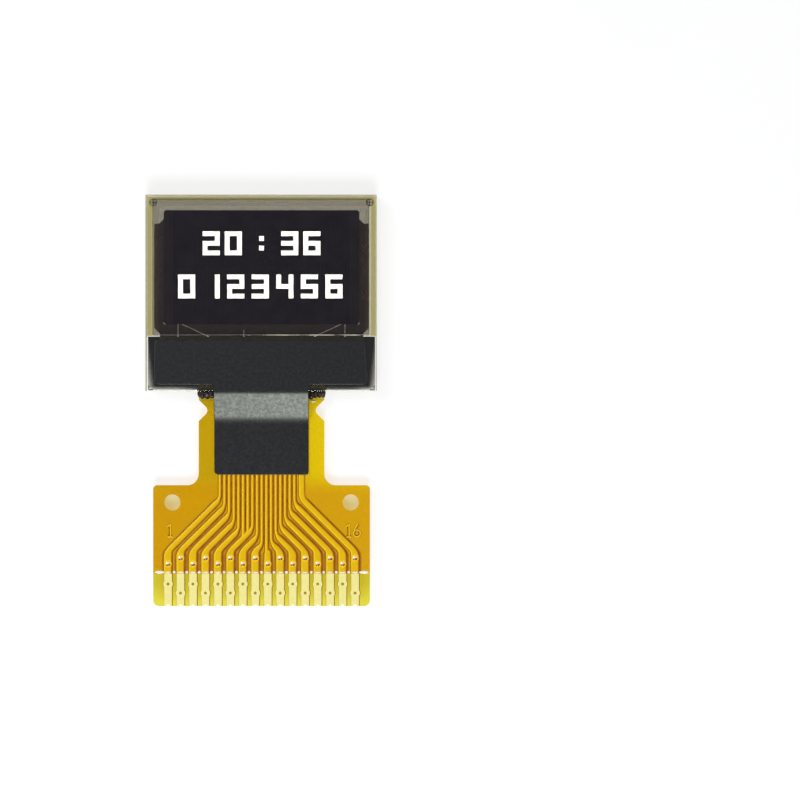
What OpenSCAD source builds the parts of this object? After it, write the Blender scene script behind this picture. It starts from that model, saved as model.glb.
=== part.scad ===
// Small passive-matrix OLED module: a chip-on-glass panel on a solder-type flexible circuit.
// Millimetres. The origin is the centre of the cap glass's outer face. +X points right as seen by
// a viewer of the display, +Y away from the flexible circuit, and +Z out of the display.
// The films of the display and of the flexible circuit are drawn a little thicker than real ones.

/* [Panel glass] */
// Margin of the glasses beyond the routing metal, at their left and right
glass_margin = 0.4; // [0.35:0.01:0.6]
// Height of the ledge of substrate glass beyond the cap glass
ledge_h = 2.85; // [2.75:0.05:3.5]
// Thickness of the substrate glass
glass_t = 0.5; // [0.3:0.05:0.7]
// Margin of the cap glass beyond the display films, at its top and bottom
cap_margin = 0.7; // [0.66:0.01:0.8]
// Thickness of the cap glass
cap_t = 0.5; // [0.4:0.05:0.7]
// Depth of the cavity etched into the cap glass
cavity_depth = 0.25; // [0.15:0.05:0.3]
// Width of the cap's rim at its left and right
rim_w = 0.62; // [0.4:0.02:0.68]
// Width of the cap's rim at its top and bottom
rim_h = 0.5; // [0.3:0.02:0.58]
// Corner radius of the cavity
cavity_r = 0.3; // [0.1:0.05:0.5]
// Thickness of the glue line between the glasses
seal_t = 0.02; // [0.015:0.005:0.04]
// Distance from the cap's edge to the glue line
seal_inset = 0.05; // [0.02:0.01:0.1]

/* [Getter] */
// Width of the getter sheet
getter_w = 5.0; // [3:0.1:6]
// Height of the getter sheet
getter_h = 2.4; // [1.5:0.1:3.5]
// Thickness of the getter sheet
getter_t = 0.1; // [0.05:0.01:0.12]
// Corner radius of the getter sheet
getter_r = 0.35; // [0.1:0.05:0.6]
// Place of the getter's centre along X
getter_x = -1.03; // [-1.5:0.01:1.5]
// Place of the getter's centre along Y
getter_y = -0.15; // [-0.5:0.01:0.5]

/* [Polarizer] */
// Distance from the glass's side edges to the polarizer
polarizer_side = 0.375; // [0.2:0.005:0.5]
// Distance from the polarizer down to the level of the cap's lower edge
polarizer_drop = 0.03; // [0.02:0.01:0.1]
// Thickness of the polarizer
polarizer_t = 0.2; // [0.1:0.01:0.3]
// Distance from the glass's top edge to the polarizer
polarizer_gap = 0.22; // [0.1:0.02:0.3]

/* [Display films] */
// Number of pixel columns
columns = 72; // [64:1:76]
// Number of pixel rows
rows = 40; // [32:1:42]
// Width of a pixel's cell, from one pixel column to the next
cell_w = 0.128; // [0.12:0.001:0.14]
// Height of a pixel's cell, from one pixel row to the next
cell_h = 0.125; // [0.11:0.001:0.14]
// Share of the cell that an electrode fills
fill_share = 0.84; // [0.6:0.02:0.92]
// Margin of the display films beyond the pixels, at their left and right
film_side = 0.492; // [0.45:0.002:0.6]
// Margin of the display films beyond the pixels, at their top and bottom
film_end = 0.475; // [0.45:0.005:0.6]
// Corner radius of the display films
film_r = 0.15; // [0.1:0.01:0.2]
// Place of the display films' centre along Y
film_y = -0.06; // [-0.1:0.01:0.05]
// Thickness of each display film
layer_t = 0.01; // [0.006:0.001:0.012]
// Margin from the films' edge to the separator ridge
ridge_inset = 0.24; // [0.16:0.01:0.28]
// Width of the separator ridge
ridge_w = 0.09; // [0.05:0.01:0.12]
// Gap between the pixels and the margin of the cathode film
border_gap = 0.02; // [0.01:0.005:0.04]
// Slant of the comb's slots in that margin, in degrees
comb_slant = 25; // [10:1:40]

/* [Lit readout] */
// Hours that the upper line shows
hours = 20; // [10:1:23]
// Minutes that the upper line shows
minutes = 36; // [10:1:59]
// Number of digits that the lower line counts, from 0
counted = 7; // [3:1:7]
// Width of a lit digit, in pixels
digit_cols = 7; // [6:1:7]
// Height of a lit digit, in pixels
digit_rows = 10; // [8:2:10]
// Width of a digit's bars, in pixels
bar_px = 2; // [2:2:2]
// Pixel row of the upper line's top
clock_row = 5; // [4:1:8]
// Pixel row of the lower line's top
count_row = 23; // [20:1:25]

/* [Routing metal] */
// Width of the routing metal beside the display films
side_lead_w = 0.5; // [0.4:0.02:0.6]
// Height above the display's centre where the side leads start
routing_top = 1.95; // [1:0.05:2.3]
// Width of the gap lines in the routing metal
gap_line = 0.03; // [0.02:0.005:0.05]
// Number of slanted gap lines on each side
side_lines = 16; // [6:1:20]
// Distance from one slanted gap line to the next
side_line_pitch = 0.22; // [0.16:0.01:0.23]
// Slant of those gap lines, in degrees
side_line_slant = 50; // [35:1:60]
// Distance from the films' sides to the upright gap lines near the lower corners
corner_line_in = 0.75; // [0.5:0.05:0.9]
// Distance that the slanting gap lines beside them run inwards
corner_line_run = 1.4; // [1:0.05:1.8]
// Distance from the side leads' tops to the first slanted gap line
side_line_drop = 0.35; // [0.3:0.01:0.5]
// Place along X of the short gap line
short_line_x = -0.92; // [-1.2:0.02:1]
// Length of the short gap line above the ledge
short_line_len = 0.35; // [0.2:0.01:0.5]
// Reach of the upright gap lines into the fan on the ledge
line_tail = 0.2; // [0.1:0.01:0.3]
// Step of the routing metal at its lower corners
routing_step = 0.3; // [0.2:0.01:0.4]
// Diameter of the ringed alignment crosses
mark_d = 0.4; // [0.25:0.01:0.44]
// Line width of the alignment marks
mark_line = 0.05; // [0.03:0.005:0.07]
// Length of the arms of the corner angles
angle_arm = 0.25; // [0.15:0.01:0.3]
// Distance from the glass's edges to the alignment marks
mark_inset = 0.1; // [0.06:0.01:0.2]

/* [Driver chip and resin] */
// Width of the driver chip
chip_w = 7.0; // [5:0.1:8]
// Height of the driver chip
chip_h = 0.8; // [0.6:0.05:1]
// Thickness of the driver chip
chip_t = 0.25; // [0.15:0.01:0.28]
// Distance from the cap glass to the chip
chip_gap = 0.4; // [0.3:0.05:0.6]
// Thickness of the conductive bond films
bond_t = 0.02; // [0.01:0.005:0.03]
// Margin of the chip's bond film round the chip
bond_margin = 0.12; // [0.05:0.01:0.2]
// Depth of resin on the ledge
resin_t = 0.24; // [0.2:0.01:0.3]
// Depth of resin over the chip, from the ledge
resin_dome_t = 0.42; // [0.4:0.01:0.48]
// Reach of the resin beyond the glass, over the flexible circuit
resin_reach = 0.4; // [0.2:0.05:0.6]
// Distance from the glass's side edges to the resin
resin_inset = 0.08; // [0.04:0.01:0.2]
// Width of the bevel round the resin
resin_bevel = 0.16; // [0.1:0.01:0.2]
// Distance by which the resin's lower corners are drawn in
resin_cut = 0.4; // [0.2:0.05:0.6]
// Margin of the resin's dome round the chip
dome_margin = 0.28; // [0.2:0.01:0.3]
// Reach of the edge glue beyond the glass
glue_reach = 0.45; // [0.3:0.05:0.6]
// Height of the edge glue on the glass's edge
glue_h = 0.3; // [0.1:0.02:0.4]

/* [Flexible circuit] */
// Width of the neck
neck_w = 6.55; // [6:0.05:7]
// Length of the neck from the glass to the tab
neck_len = 4.9; // [4:0.1:6]
// Overlap of the flexible circuit under the glass
overlap = 1.15; // [0.9:0.05:1.3]
// Distance from a lead's end to the edge that it runs up to
end_gap = 0.1; // [0.05:0.01:0.15]
// Depth of the two waist notches
waist_depth = 0.45; // [0.3:0.05:0.5]
// Radius at the bottom of a waist notch
waist_r = 0.26; // [0.15:0.01:0.3]
// Distance from the glass to the waist notches' middle
waist_drop = 1.0; // [0.9:0.05:1.4]
// Width of the tab
tab_w = 11.3; // [10.9:0.1:12.5]
// Height of the tab
tab_h = 6.3; // [6.15:0.05:7.5]
// Radius of the tab's upper corners
tab_upper_r = 0.2; // [0.1:0.05:0.4]
// Radius of the tab's lower corners
tab_lower_r = 0.3; // [0.1:0.05:0.45]
// Radius of the fillets between neck and tab
shoulder_r = 0.6; // [0.3:0.05:0.9]
// Diameter of the locating holes
hole_d = 0.85; // [0.6:0.05:1]
// Distance between the locating holes
hole_span = 9.3; // [9:0.05:9.8]
// Distance from the tab's upper edge to the locating holes
hole_drop = 0.9; // [0.7:0.05:1.1]
// Thickness of the base film
base_t = 0.025; // [0.015:0.005:0.05]
// Thickness of the copper on either side
copper_t = 0.02; // [0.012:0.001:0.025]
// Thickness of a cover film
cover_t = 0.03; // [0.028:0.001:0.04]
// Rise of a cover film over the copper
relief_t = 0.01; // [0.004:0.001:0.015]
// Margin of that rise round the copper
relief_margin = 0.02; // [0.01:0.005:0.03]
// Thickness of the gold finish
plating_t = 0.008; // [0.005:0.001:0.01]

/* [Leads and pads] */
// Number of pads
pads = 16; // [14:1:16]
// Distance from one pad to the next
pad_pitch = 0.65; // [0.62:0.01:0.66]
// Width of a pad
pad_w = 0.4; // [0.3:0.01:0.44]
// Length of the open front pads
pad_open = 1.7; // [1.5:0.05:1.9]
// Length of the open rear fingers
finger_open = 1.95; // [1.5:0.05:2.05]
// Length of the rear fingers
finger_len = 3.07; // [2.9:0.05:3.4]
// Width of a rear finger
finger_w = 0.36; // [0.3:0.01:0.42]
// Diameter of the round land at a hole in an open pad
ear_d = 0.5; // [0.44:0.01:0.54]
// Height of the lower row of holes in the open pads
ear_low = 0.68; // [0.5:0.02:0.8]
// Height of the upper row of holes in the open pads
ear_high = 1.15; // [1:0.02:1.3]
// Diameter of the land at a via
via_land_d = 0.42; // [0.38:0.01:0.48]
// Height of the lower row of vias
via_low = 2.2; // [2.18:0.02:2.3]
// Height of the upper row of vias
via_high = 2.5; // [2.42:0.02:2.6]
// Diameter of the drilled vias
via_d = 0.24; // [0.18:0.01:0.28]
// Diameter of the drilled holes in the open pads
pad_hole_d = 0.2; // [0.15:0.01:0.24]
// Wall of the copper barrels in the drilled holes
barrel_wall = 0.025; // [0.015:0.005:0.03]
// Radius of the half-round notch at a pad's end
notch_r = 0.09; // [0.05:0.01:0.12]
// Distance from one lead to the next in the neck
lead_pitch = 0.243; // [0.22:0.001:0.25]
// Width of a narrow lead
lead_w = 0.135; // [0.1:0.005:0.15]
// Width of a slanting lead
slant_w = 0.28; // [0.2:0.01:0.3]
// Width of the wide supply lead
supply_w = 0.3; // [0.24:0.01:0.32]
// Gap between the supply lead and the narrow leads
supply_gap = 0.16; // [0.12:0.01:0.2]
// Place along X of the middle of the narrow leads
lead_shift = -0.215; // [-0.3:0.005:-0.15]
// Height at which the slanting leads reach their pads
arrival_h = 2.85; // [2.8:0.02:2.95]
// First of the leads that share a pad
merge_first = 6; // [5:1:7]
// Number of leads that share that pad
merge_count = 3; // [2:1:3]
// Height of the pin numbers
number_h = 0.7; // [0.5:0.05:0.8]
// Line width of the pin numbers
number_line = 0.09; // [0.06:0.01:0.12]
// Width of the foot of a figure 1
number_foot = 0.24; // [0.2:0.01:0.3]
// Drop of the flag of a figure 1
number_flag = 0.16; // [0.1:0.01:0.2]
// Distance from the figure 1 to the figure 6 in 16
number_step = 0.42; // [0.38:0.01:0.48]
// Height of the pin numbers' foot above the circuit's lower edge
number_rise = 3.58; // [3.4:0.02:3.8]
// Place along X of the pin numbers' middle
number_x = 4.76; // [4.7:0.02:4.9]
// Radius of the glue beads at the cover films' edges
bead_r = 0.025; // [0.015:0.001:0.03]
// Length of the glue bead beyond each end pad
end_bead_len = 0.4; // [0.2:0.01:0.45]

/* [Shield tape] */
// Distance from the glass's side edges to the tape
tape_inset = 0.48; // [0.3:0.02:0.9]
// Height of the tape on the ledge
tape_h = 2.3; // [2:0.05:2.4]
// Distance from the cap's lower edge to the tape
tape_gap = 0.2; // [0.12:0.01:0.3]
// Width of the tape's tail
tail_w = 4.92; // [4.6:0.02:5.4]
// Reach of the tail beyond the glass
tail_reach = 4.35; // [3.5:0.05:4.6]
// Length of the stretch where the tail comes down from the glass
tail_ramp = 1.55; // [1.2:0.05:2]
// Thickness of the tape
tape_t = 0.05; // [0.03:0.005:0.08]
// Corner radius of the tape
tape_r = 0.22; // [0.1:0.02:0.4]

/* [Hidden] */
$fn = 40;

// Overall sizes, from the pixels outwards
active_w = columns * cell_w;
active_h = rows * cell_h;
film_w = active_w + 2 * film_side;
film_h = active_h + 2 * film_end;
routing_w = film_w + 2 * side_lead_w;
glass_w = routing_w + 2 * glass_margin;
cap_h = film_h + 2 * cap_margin;
glass_h = cap_h + ledge_h;
polarizer_w = glass_w - 2 * polarizer_side;
polarizer_h = cap_h - polarizer_gap - polarizer_drop;
tape_w = glass_w - 2 * tape_inset;

// Levels along Y
top_y = cap_h / 2;
cap_bottom_y = -cap_h / 2;
edge_y = top_y - glass_h;
flex_top_y = edge_y + overlap;
tab_top_y = edge_y - neck_len;
bottom_y = tab_top_y - tab_h;
polarizer_y = top_y - polarizer_gap - polarizer_h / 2;
chip_y = cap_bottom_y - chip_gap - chip_h / 2;
cover_top_y = edge_y - glue_reach;
front_open_y = bottom_y + pad_open;
rear_open_y = bottom_y + finger_open;
arrival_y = bottom_y + arrival_h;
hole_y = tab_top_y - hole_drop;

// Levels along Z, from the cap's outer face to the front
cap_top_z = cap_t;
ledge_z = cap_top_z + seal_t;
front_z = ledge_z + glass_t;
metal_z = ledge_z - layer_t;
emitter_z = metal_z - layer_t;
cathode_z = emitter_z - layer_t;
bond_z = metal_z - bond_t;
base_top_z = bond_z - copper_t;
base_low_z = base_top_z - base_t;
rear_copper_z = base_low_z - copper_t;
cover_crest_z = base_top_z + cover_t + relief_t;

// Sizes that follow from others
neck_leads = pads + merge_count - 2;
film_bottom_y = film_y - film_h / 2;
lead_x0 = lead_shift - lead_pitch * (neck_leads - 1) / 2;
lead_top_y = flex_top_y - end_gap;
taper_len = supply_w;
slack = 0.01;
// Shares: of the row that a comb's slot and a square hole fill, of a six's height that its bowl's
// radius takes, and of the gap between two pads that a bead of glue fills
SLOT_SHARE = 0.3;
HOLE_SHARE = 0.9;
BOWL_SHARE = 0.3;
BEAD_SHARE = 0.7;
function pad_x(i) = (i - (pads - 1) / 2) * pad_pitch;
function lead_x(k) = lead_x0 + k * lead_pitch;
supply_x = lead_x(neck_leads - 1) + lead_w / 2 + supply_gap + supply_w / 2;
// Which pad a narrow lead goes to: the leads from merge_first on share one pad
function pad_of(k) = k < merge_first ? k : max(merge_first - 1, k - merge_count + 1);
// The holes stand in two rows, by turns
function ear_y(i) = bottom_y + (i % 2 == 0 ? ear_high : ear_low);
function via_y(i) = bottom_y + (i % 2 == 0 ? via_low : via_high);

// Small helpers -------------------------------------------------------------------------------

// A flat shape as a sheet from level z upwards
module sheet(z, t) {
    translate([0, 0, z]) linear_extrude(height = t) children();
}

module centred_square(w, h, y = 0) {
    translate([-w / 2, y - h / 2]) square([w, h]);
}

// A rectangle with round corners, centred
module round_rect(w, h, r) {
    centred_square(w - 2 * r, h);
    centred_square(w, h - 2 * r);
    for (sx = [-1, 1], sy = [-1, 1]) translate([sx * (w / 2 - r), sy * (h / 2 - r)]) circle(r);
}

// A straight leg from a to b whose width goes from wa to wb
module leg(a, b, wa, wb) {
    d = b - a;
    n = [-d.y, d.x] / norm(d);
    polygon([a - n * wa / 2, b - n * wb / 2, b + n * wb / 2, a + n * wa / 2]);
}

// Points of the right half, followed by their mirror images on the way back
function with_mirror(points) =
    concat(points, [for (n = [len(points) - 1 : -1 : 0]) [-points[n].x, points[n].y]]);

module both_sides() {
    children();
    mirror([1, 0]) children();
}

// The corner of a square that a quarter circle leaves over; turn says which corner of the four
module corner_piece(x, y, r, turn) {
    translate([x, y]) rotate(turn) difference() {
        translate([-r, -r]) square([r + slack, r + slack]);
        translate([-r, -r]) circle(r);
    }
}

// Panel ---------------------------------------------------------------------------------------

module substrate_glass() {
    color([0.82, 0.86, 0.80, 0.35])
        sheet(ledge_z, glass_t) centred_square(glass_w, glass_h, top_y - glass_h / 2);
}

module cavity_outline() {
    round_rect(glass_w - 2 * rim_w, cap_h - 2 * rim_h, cavity_r);
}

module cap_glass() {
    color([0.80, 0.85, 0.82, 0.35]) difference() {
        sheet(0, cap_t) centred_square(glass_w, cap_h);
        sheet(cap_t - cavity_depth, cavity_depth + 1) cavity_outline();
    }
}

module polarizer() {
    color([0.20, 0.20, 0.22, 0.75])
        sheet(front_z, polarizer_t) centred_square(polarizer_w, polarizer_h, polarizer_y);
}

// The glue line fills the rim between the glasses and runs over the metal on the substrate
module sealant_frame() {
    color([0.66, 0.62, 0.36]) difference() {
        sheet(cap_top_z, seal_t) difference() {
            centred_square(glass_w - 2 * seal_inset, cap_h - 2 * seal_inset);
            cavity_outline();
        }
        sheet(metal_z, 2 * layer_t) routing_outline();
        sheet(metal_z, 2 * layer_t) mark_places() circle(mark_d / 2);
    }
}

module getter_sheet() {
    color([0.84, 0.85, 0.80])
        translate([getter_x, getter_y]) sheet(cap_t - cavity_depth, getter_t)
            round_rect(getter_w, getter_h, getter_r);
}

// Display films -------------------------------------------------------------------------------

module anode_columns() {
    color([0.55, 0.60, 0.62])
        for (c = [0 : columns - 1])
            translate([(c - (columns - 1) / 2) * cell_w, 0])
                sheet(metal_z, layer_t) centred_square(cell_w * fill_share, film_h, film_y);
}

module emitter_layer() {
    color([0.14, 0.14, 0.17]) difference() {
        translate([0, film_y]) sheet(emitter_z, layer_t) round_rect(film_w, film_h, film_r);
        sheet(emitter_z - 1, 2) lit_shapes();
    }
}

// Which bars of a seven-bar digit are lit: top, two upper, middle, two lower, bottom
BARS = [
    [1, 1, 1, 0, 1, 1, 1], [0, 0, 1, 0, 0, 1, 0], [1, 0, 1, 1, 1, 0, 1], [1, 0, 1, 1, 0, 1, 1],
    [0, 1, 1, 1, 0, 1, 0], [1, 1, 0, 1, 0, 1, 1], [1, 1, 0, 1, 1, 1, 1], [1, 0, 1, 0, 0, 1, 0],
    [1, 1, 1, 1, 1, 1, 1], [1, 1, 1, 1, 0, 1, 1]
];

// A block of lit pixels, given by its first column and row from the top left, and its size
module pixel_block(col, row, w, h) {
    translate([(col - columns / 2) * cell_w, film_y + (rows / 2 - row - h) * cell_h])
        square([w * cell_w, h * cell_h]);
}

module lit_digit(value, col, row) {
    on = BARS[value];
    half = (digit_rows + bar_px) / 2;
    far = digit_cols - bar_px;
    low = digit_rows - half;
    if (on[0]) pixel_block(col, row, digit_cols, bar_px);
    if (on[1]) pixel_block(col, row, bar_px, half);
    if (on[2]) pixel_block(col + far, row, bar_px, half);
    if (on[3]) pixel_block(col, row + low, digit_cols, bar_px);
    if (on[4]) pixel_block(col, row + low, bar_px, half);
    if (on[5]) pixel_block(col + far, row + low, bar_px, half);
    if (on[6]) pixel_block(col, row + digit_rows - bar_px, digit_cols, bar_px);
}

// A line of digits from the column col on, one every step columns
module lit_line(values, col, row, step) {
    for (i = [0 : len(values) - 1]) lit_digit(values[i], col + i * step, row);
}

// Two lines of plain numbers: a clock time over a row that counts up
module lit_shapes() {
    middle = columns / 2;
    gap = bar_px;
    step = digit_cols + gap;
    count_cols = counted * (step + 1) - gap - 1;
    lit_line([floor(hours / 10), hours % 10], middle - 3 * gap - 2 * step, clock_row, step);
    lit_line([floor(minutes / 10), minutes % 10], middle + 4 * gap, clock_row, step);
    for (dot = [gap, 3 * gap]) pixel_block(middle - gap / 2, clock_row + dot, bar_px, bar_px);
    lit_line([for (i = [0 : counted - 1]) i], floor((columns - count_cols) / 2), count_row, step + 1);
}

module lit_pixels() {
    color([1, 1, 1]) sheet(emitter_z, layer_t) lit_shapes();
}

module cathode_rows() {
    color([0.70, 0.76, 0.84])
        for (r = [0 : rows - 1])
            translate([0, film_y + (r - (rows - 1) / 2) * cell_h])
                sheet(cathode_z, layer_t) centred_square(active_w, cell_h * fill_share);
}

// The margin has a comb of slanted slots at +X and a row of square holes at -X
module cathode_border() {
    comb_x = film_w / 2 - ridge_inset / 2;
    color([0.86, 0.87, 0.90]) translate([0, film_y]) sheet(cathode_z, layer_t) difference() {
        round_rect(film_w, film_h, film_r);
        centred_square(active_w + 2 * border_gap, active_h + 2 * border_gap);
        for (r = [0 : rows - 1])
            translate([comb_x, (r - (rows - 1) / 2) * cell_h])
                rotate(comb_slant) centred_square(ridge_inset / 2, cell_h * SLOT_SHARE);
        for (r = [0 : 2 : rows - 1])
            translate([-comb_x, (r - (rows - 1) / 2) * cell_h])
                centred_square(ridge_inset / 2, cell_h * HOLE_SHARE);
    }
}

module separator_ridge() {
    w = film_w - 2 * ridge_inset;
    h = film_h - 2 * ridge_inset;
    color([0.93, 0.93, 0.92]) translate([0, film_y]) sheet(cathode_z - layer_t, layer_t) difference() {
        round_rect(w, h, film_r);
        round_rect(w - 2 * ridge_w, h - 2 * ridge_w, film_r - ridge_w);
    }
}

// Metal on the substrate ----------------------------------------------------------------------

// Side leads with slanted tops, the strip below the display and the fan down to the chip
module routing_outline() {
    half = routing_w / 2;
    inner = film_w / 2;
    step_y = routing_step / 2;
    polygon(with_mirror([
        [chip_w / 2, chip_y], [half - routing_step, cap_bottom_y - step_y],
        [half - routing_step, cap_bottom_y + step_y],
        [half, cap_bottom_y + step_y + routing_step], [half, routing_top],
        [inner, routing_top + side_lead_w], [inner, film_bottom_y]
    ]));
}

module gap_lines() {
    high = film_bottom_y + slack;
    low = cap_bottom_y - line_tail;
    corner_x = film_w / 2 - corner_line_in;
    start_x = corner_x - line_tail;
    both_sides() {
        leg([corner_x, high], [corner_x, low], gap_line, gap_line);
        leg([start_x, high], [start_x - corner_line_run, cap_bottom_y], gap_line, gap_line);
        for (n = [0 : side_lines - 1])
            translate([(film_w + side_lead_w) / 2, routing_top - side_line_drop - n * side_line_pitch])
                rotate(-side_line_slant) centred_square(side_lead_w, gap_line);
    }
    leg([short_line_x, cap_bottom_y + short_line_len], [short_line_x, low], gap_line, gap_line);
}

// Leads that carry the flexible circuit's signals up to the chip
module input_leads() {
    high = chip_y - end_gap;
    low = edge_y + end_gap;
    for (k = [0 : neck_leads - 1]) leg([lead_x(k), high], [lead_x(k), low], lead_w, lead_w);
    leg([supply_x, high], [supply_x, low], supply_w, supply_w);
}

module routing_metal() {
    color([0.21, 0.19, 0.16]) sheet(metal_z, layer_t) {
        difference() {
            routing_outline();
            gap_lines();
        }
        input_leads();
    }
}

// The centres of the ringed crosses, near the glass's upper corners
module mark_places() {
    inset = mark_inset + seal_inset + mark_d / 2;
    both_sides() translate([glass_w / 2 - inset, top_y - inset]) children();
}

module alignment_marks() {
    color([0.30, 0.29, 0.22]) sheet(metal_z, layer_t) {
        mark_places() {
            difference() {
                circle(mark_d / 2);
                circle(mark_d / 2 - mark_line);
            }
            centred_square(mark_d - mark_line, mark_line);
            centred_square(mark_line, mark_d - mark_line);
        }
        both_sides() translate([glass_w / 2 - mark_inset, edge_y + mark_inset / 2]) {
            translate([-angle_arm, 0]) square([angle_arm, mark_line]);
            translate([-mark_line, 0]) square([mark_line, angle_arm]);
        }
    }
}

// Ledge ---------------------------------------------------------------------------------------

module driver_chip() {
    color([0.45, 0.46, 0.50])
        translate([0, chip_y]) sheet(bond_z - chip_t, chip_t) centred_square(chip_w, chip_h);
}

module chip_bond_film() {
    color([0.75, 0.70, 0.50])
        translate([0, chip_y]) sheet(bond_z, bond_t)
            centred_square(chip_w + 2 * bond_margin, chip_h + 2 * bond_margin);
}

module flex_bond_film() {
    h = overlap - 2 * end_gap;
    color([0.75, 0.70, 0.50])
        sheet(bond_z, bond_t) centred_square(neck_w - 3 * end_gap, h, flex_top_y - end_gap - h / 2);
}

// A bevelled slab of resin under the points: wide at the ledge, smaller at its rear face
module slab(points, t) {
    hull() for (p = points)
        translate([p.x, p.y, metal_z - t])
            cylinder(h = t, r1 = resin_bevel / 4, r2 = resin_bevel, $fn = 24);
}

// Black resin that fills the ledge behind the glass, domed over the chip
module chip_resin() {
    side = glass_w / 2 - resin_inset - resin_bevel;
    high = cap_bottom_y - resin_bevel + base_t;
    middle = chip_y - chip_h / 2 - end_gap;
    low = edge_y + resin_bevel + base_t;
    half_neck = neck_w / 2;
    dome_r = chip_h / 2 + dome_margin;
    color([0.07, 0.07, 0.08]) difference() {
        union() {
            slab([
                [side, high], [side, middle], [side - resin_cut, low], [-side, high],
                [-side, middle], [resin_cut - side, low]
            ], resin_t);
            hull() for (sx = [-1, 1])
                translate([sx * (chip_w - dome_r) / 2, chip_y, metal_z])
                    scale([1, 1, resin_dome_t / dome_r]) sphere(dome_r, $fn = 32);
            slab([
                [resin_cut - half_neck, middle], [half_neck - resin_cut, middle],
                [resin_bevel - half_neck, low], [half_neck - resin_bevel, low],
                [2 * resin_bevel - half_neck, edge_y - resin_reach + resin_bevel],
                [half_neck - 2 * resin_bevel, edge_y - resin_reach + resin_bevel]
            ], resin_t - base_t);
        }
        translate([-glass_w, cap_bottom_y, -1]) cube([2 * glass_w, cap_h, 2]);
        translate([-glass_w, edge_y - ledge_h, metal_z]) cube([2 * glass_w, glass_h, 1]);
        driver_chip();
        chip_bond_film();
        sheet(base_low_z, 1) centred_square(neck_w, 2 * overlap, edge_y);
    }
}

// A hollow fillet between the glass's lower edge and the flexible circuit
module edge_glue() {
    w = neck_w - 2 * end_gap;
    h = glue_h + ledge_z - bond_z;
    steps = 8;
    curve = [for (n = [0 : steps]) [-glue_reach * (1 - cos(90 * n / steps)), h * (1 - sin(90 * n / steps))]];
    color([0.16, 0.13, 0.09]) translate([-w / 2, edge_y, bond_z])
        rotate([90, 0, 90]) linear_extrude(height = w) polygon(concat([[0, 0]], curve));
}

// Height of the tail's underside at the share s of its ramp, which is level at both ends
function ramp_z(s) = cover_crest_z + (front_z - cover_crest_z) * (1 + cos(180 * s)) / 2;

module tape_profile() {
    steps = 16;
    under = concat(
        [[cap_bottom_y - tape_gap, front_z]],
        [for (n = [0 : steps]) [edge_y - tail_ramp * n / steps, ramp_z(n / steps)]],
        [[edge_y - tail_reach, cover_crest_z]]
    );
    over = [for (n = [len(under) - 1 : -1 : 0]) under[n] + [0, tape_t]];
    polygon(concat(under, over));
}

// T-shaped tape: it lies on the glass, comes down over its edge and lies on the neck
module shield_tape() {
    high = cap_bottom_y - tape_gap;
    tail_h = high - edge_y + tail_reach;
    color([0.17, 0.18, 0.20]) intersection() {
        translate([-tape_w, 0, 0]) rotate([90, 0, 90]) linear_extrude(height = 2 * tape_w) tape_profile();
        sheet(0, 2 * front_z) {
            translate([0, high - tape_h / 2]) round_rect(tape_w, tape_h, tape_r);
            translate([0, high - tail_h / 2]) round_rect(tail_w, tail_h, tape_r);
        }
    }
}

// Flexible circuit ----------------------------------------------------------------------------

// A waist notch: straight walls at 45 degrees that meet in a round bottom
module waist_notch() {
    wall = waist_r * sqrt(0.5);
    translate([neck_w / 2 - waist_depth + waist_r, edge_y - waist_drop]) {
        circle(waist_r);
        polygon([[-wall, wall], [1 - wall, 1 + wall], [1 - wall, -1 - wall], [-wall, -wall]]);
    }
}

module locating_holes() {
    both_sides() translate([hole_span / 2, hole_y]) circle(hole_d / 2);
}

module end_notches() {
    for (i = [0 : pads - 1]) translate([pad_x(i), bottom_y]) circle(notch_r);
}

module flex_outline() {
    difference() {
        union() {
            translate([-neck_w / 2, tab_top_y - 1]) square([neck_w, flex_top_y - tab_top_y + 1]);
            translate([-tab_w / 2, bottom_y]) square([tab_w, tab_h]);
            both_sides() corner_piece(neck_w / 2, tab_top_y, shoulder_r, 180);
        }
        both_sides() {
            corner_piece(tab_w / 2, tab_top_y, tab_upper_r, 0);
            corner_piece(tab_w / 2, bottom_y, tab_lower_r, 270);
            waist_notch();
        }
        locating_holes();
        end_notches();
    }
}

// The part of the outline between two levels
module flex_band(low, high) {
    intersection() {
        flex_outline();
        translate([-tab_w, low]) square([2 * tab_w, high - low]);
    }
}

module via_places() {
    for (i = [0 : pads - 1]) translate([pad_x(i), via_y(i)]) children();
}

module ear_places() {
    for (i = [0 : pads - 1]) translate([pad_x(i), ear_y(i)]) children();
}

module drills() {
    via_places() circle(via_d / 2);
    ear_places() circle(pad_hole_d / 2);
}

// One lead: down the neck, slanting at 45 degrees and into its pad
module lead(x, i, neck, slant) {
    bend = [x, arrival_y + abs(pad_x(i) - x)];
    end = [pad_x(i), arrival_y];
    run = norm(end - bend);
    leg([x, lead_top_y], bend, neck, neck);
    translate(bend) circle(neck / 2);
    if (run > slack) {
        full = bend + (end - bend) * min(taper_len / run, 0.5);
        leg(bend, full, neck, slant);
        leg(full, end, slant, slant);
    }
}

// The front copper's outline, made wider all round by grow
module front_copper(grow = 0) {
    for (k = [0 : neck_leads - 1]) lead(lead_x(k), pad_of(k), lead_w + 2 * grow, slant_w + 2 * grow);
    lead(supply_x, pads - 1, supply_w + 2 * grow, supply_w + 2 * grow);
    for (i = [0 : pads - 1])
        leg([pad_x(i), arrival_y], [pad_x(i), bottom_y], pad_w + 2 * grow, pad_w + 2 * grow);
    for (i = [0 : pads - 1]) translate([pad_x(i), arrival_y]) circle(pad_w / 2 + grow);
    via_places() circle(via_land_d / 2 + grow);
    ear_places() circle(ear_d / 2 + grow);
}

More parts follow.
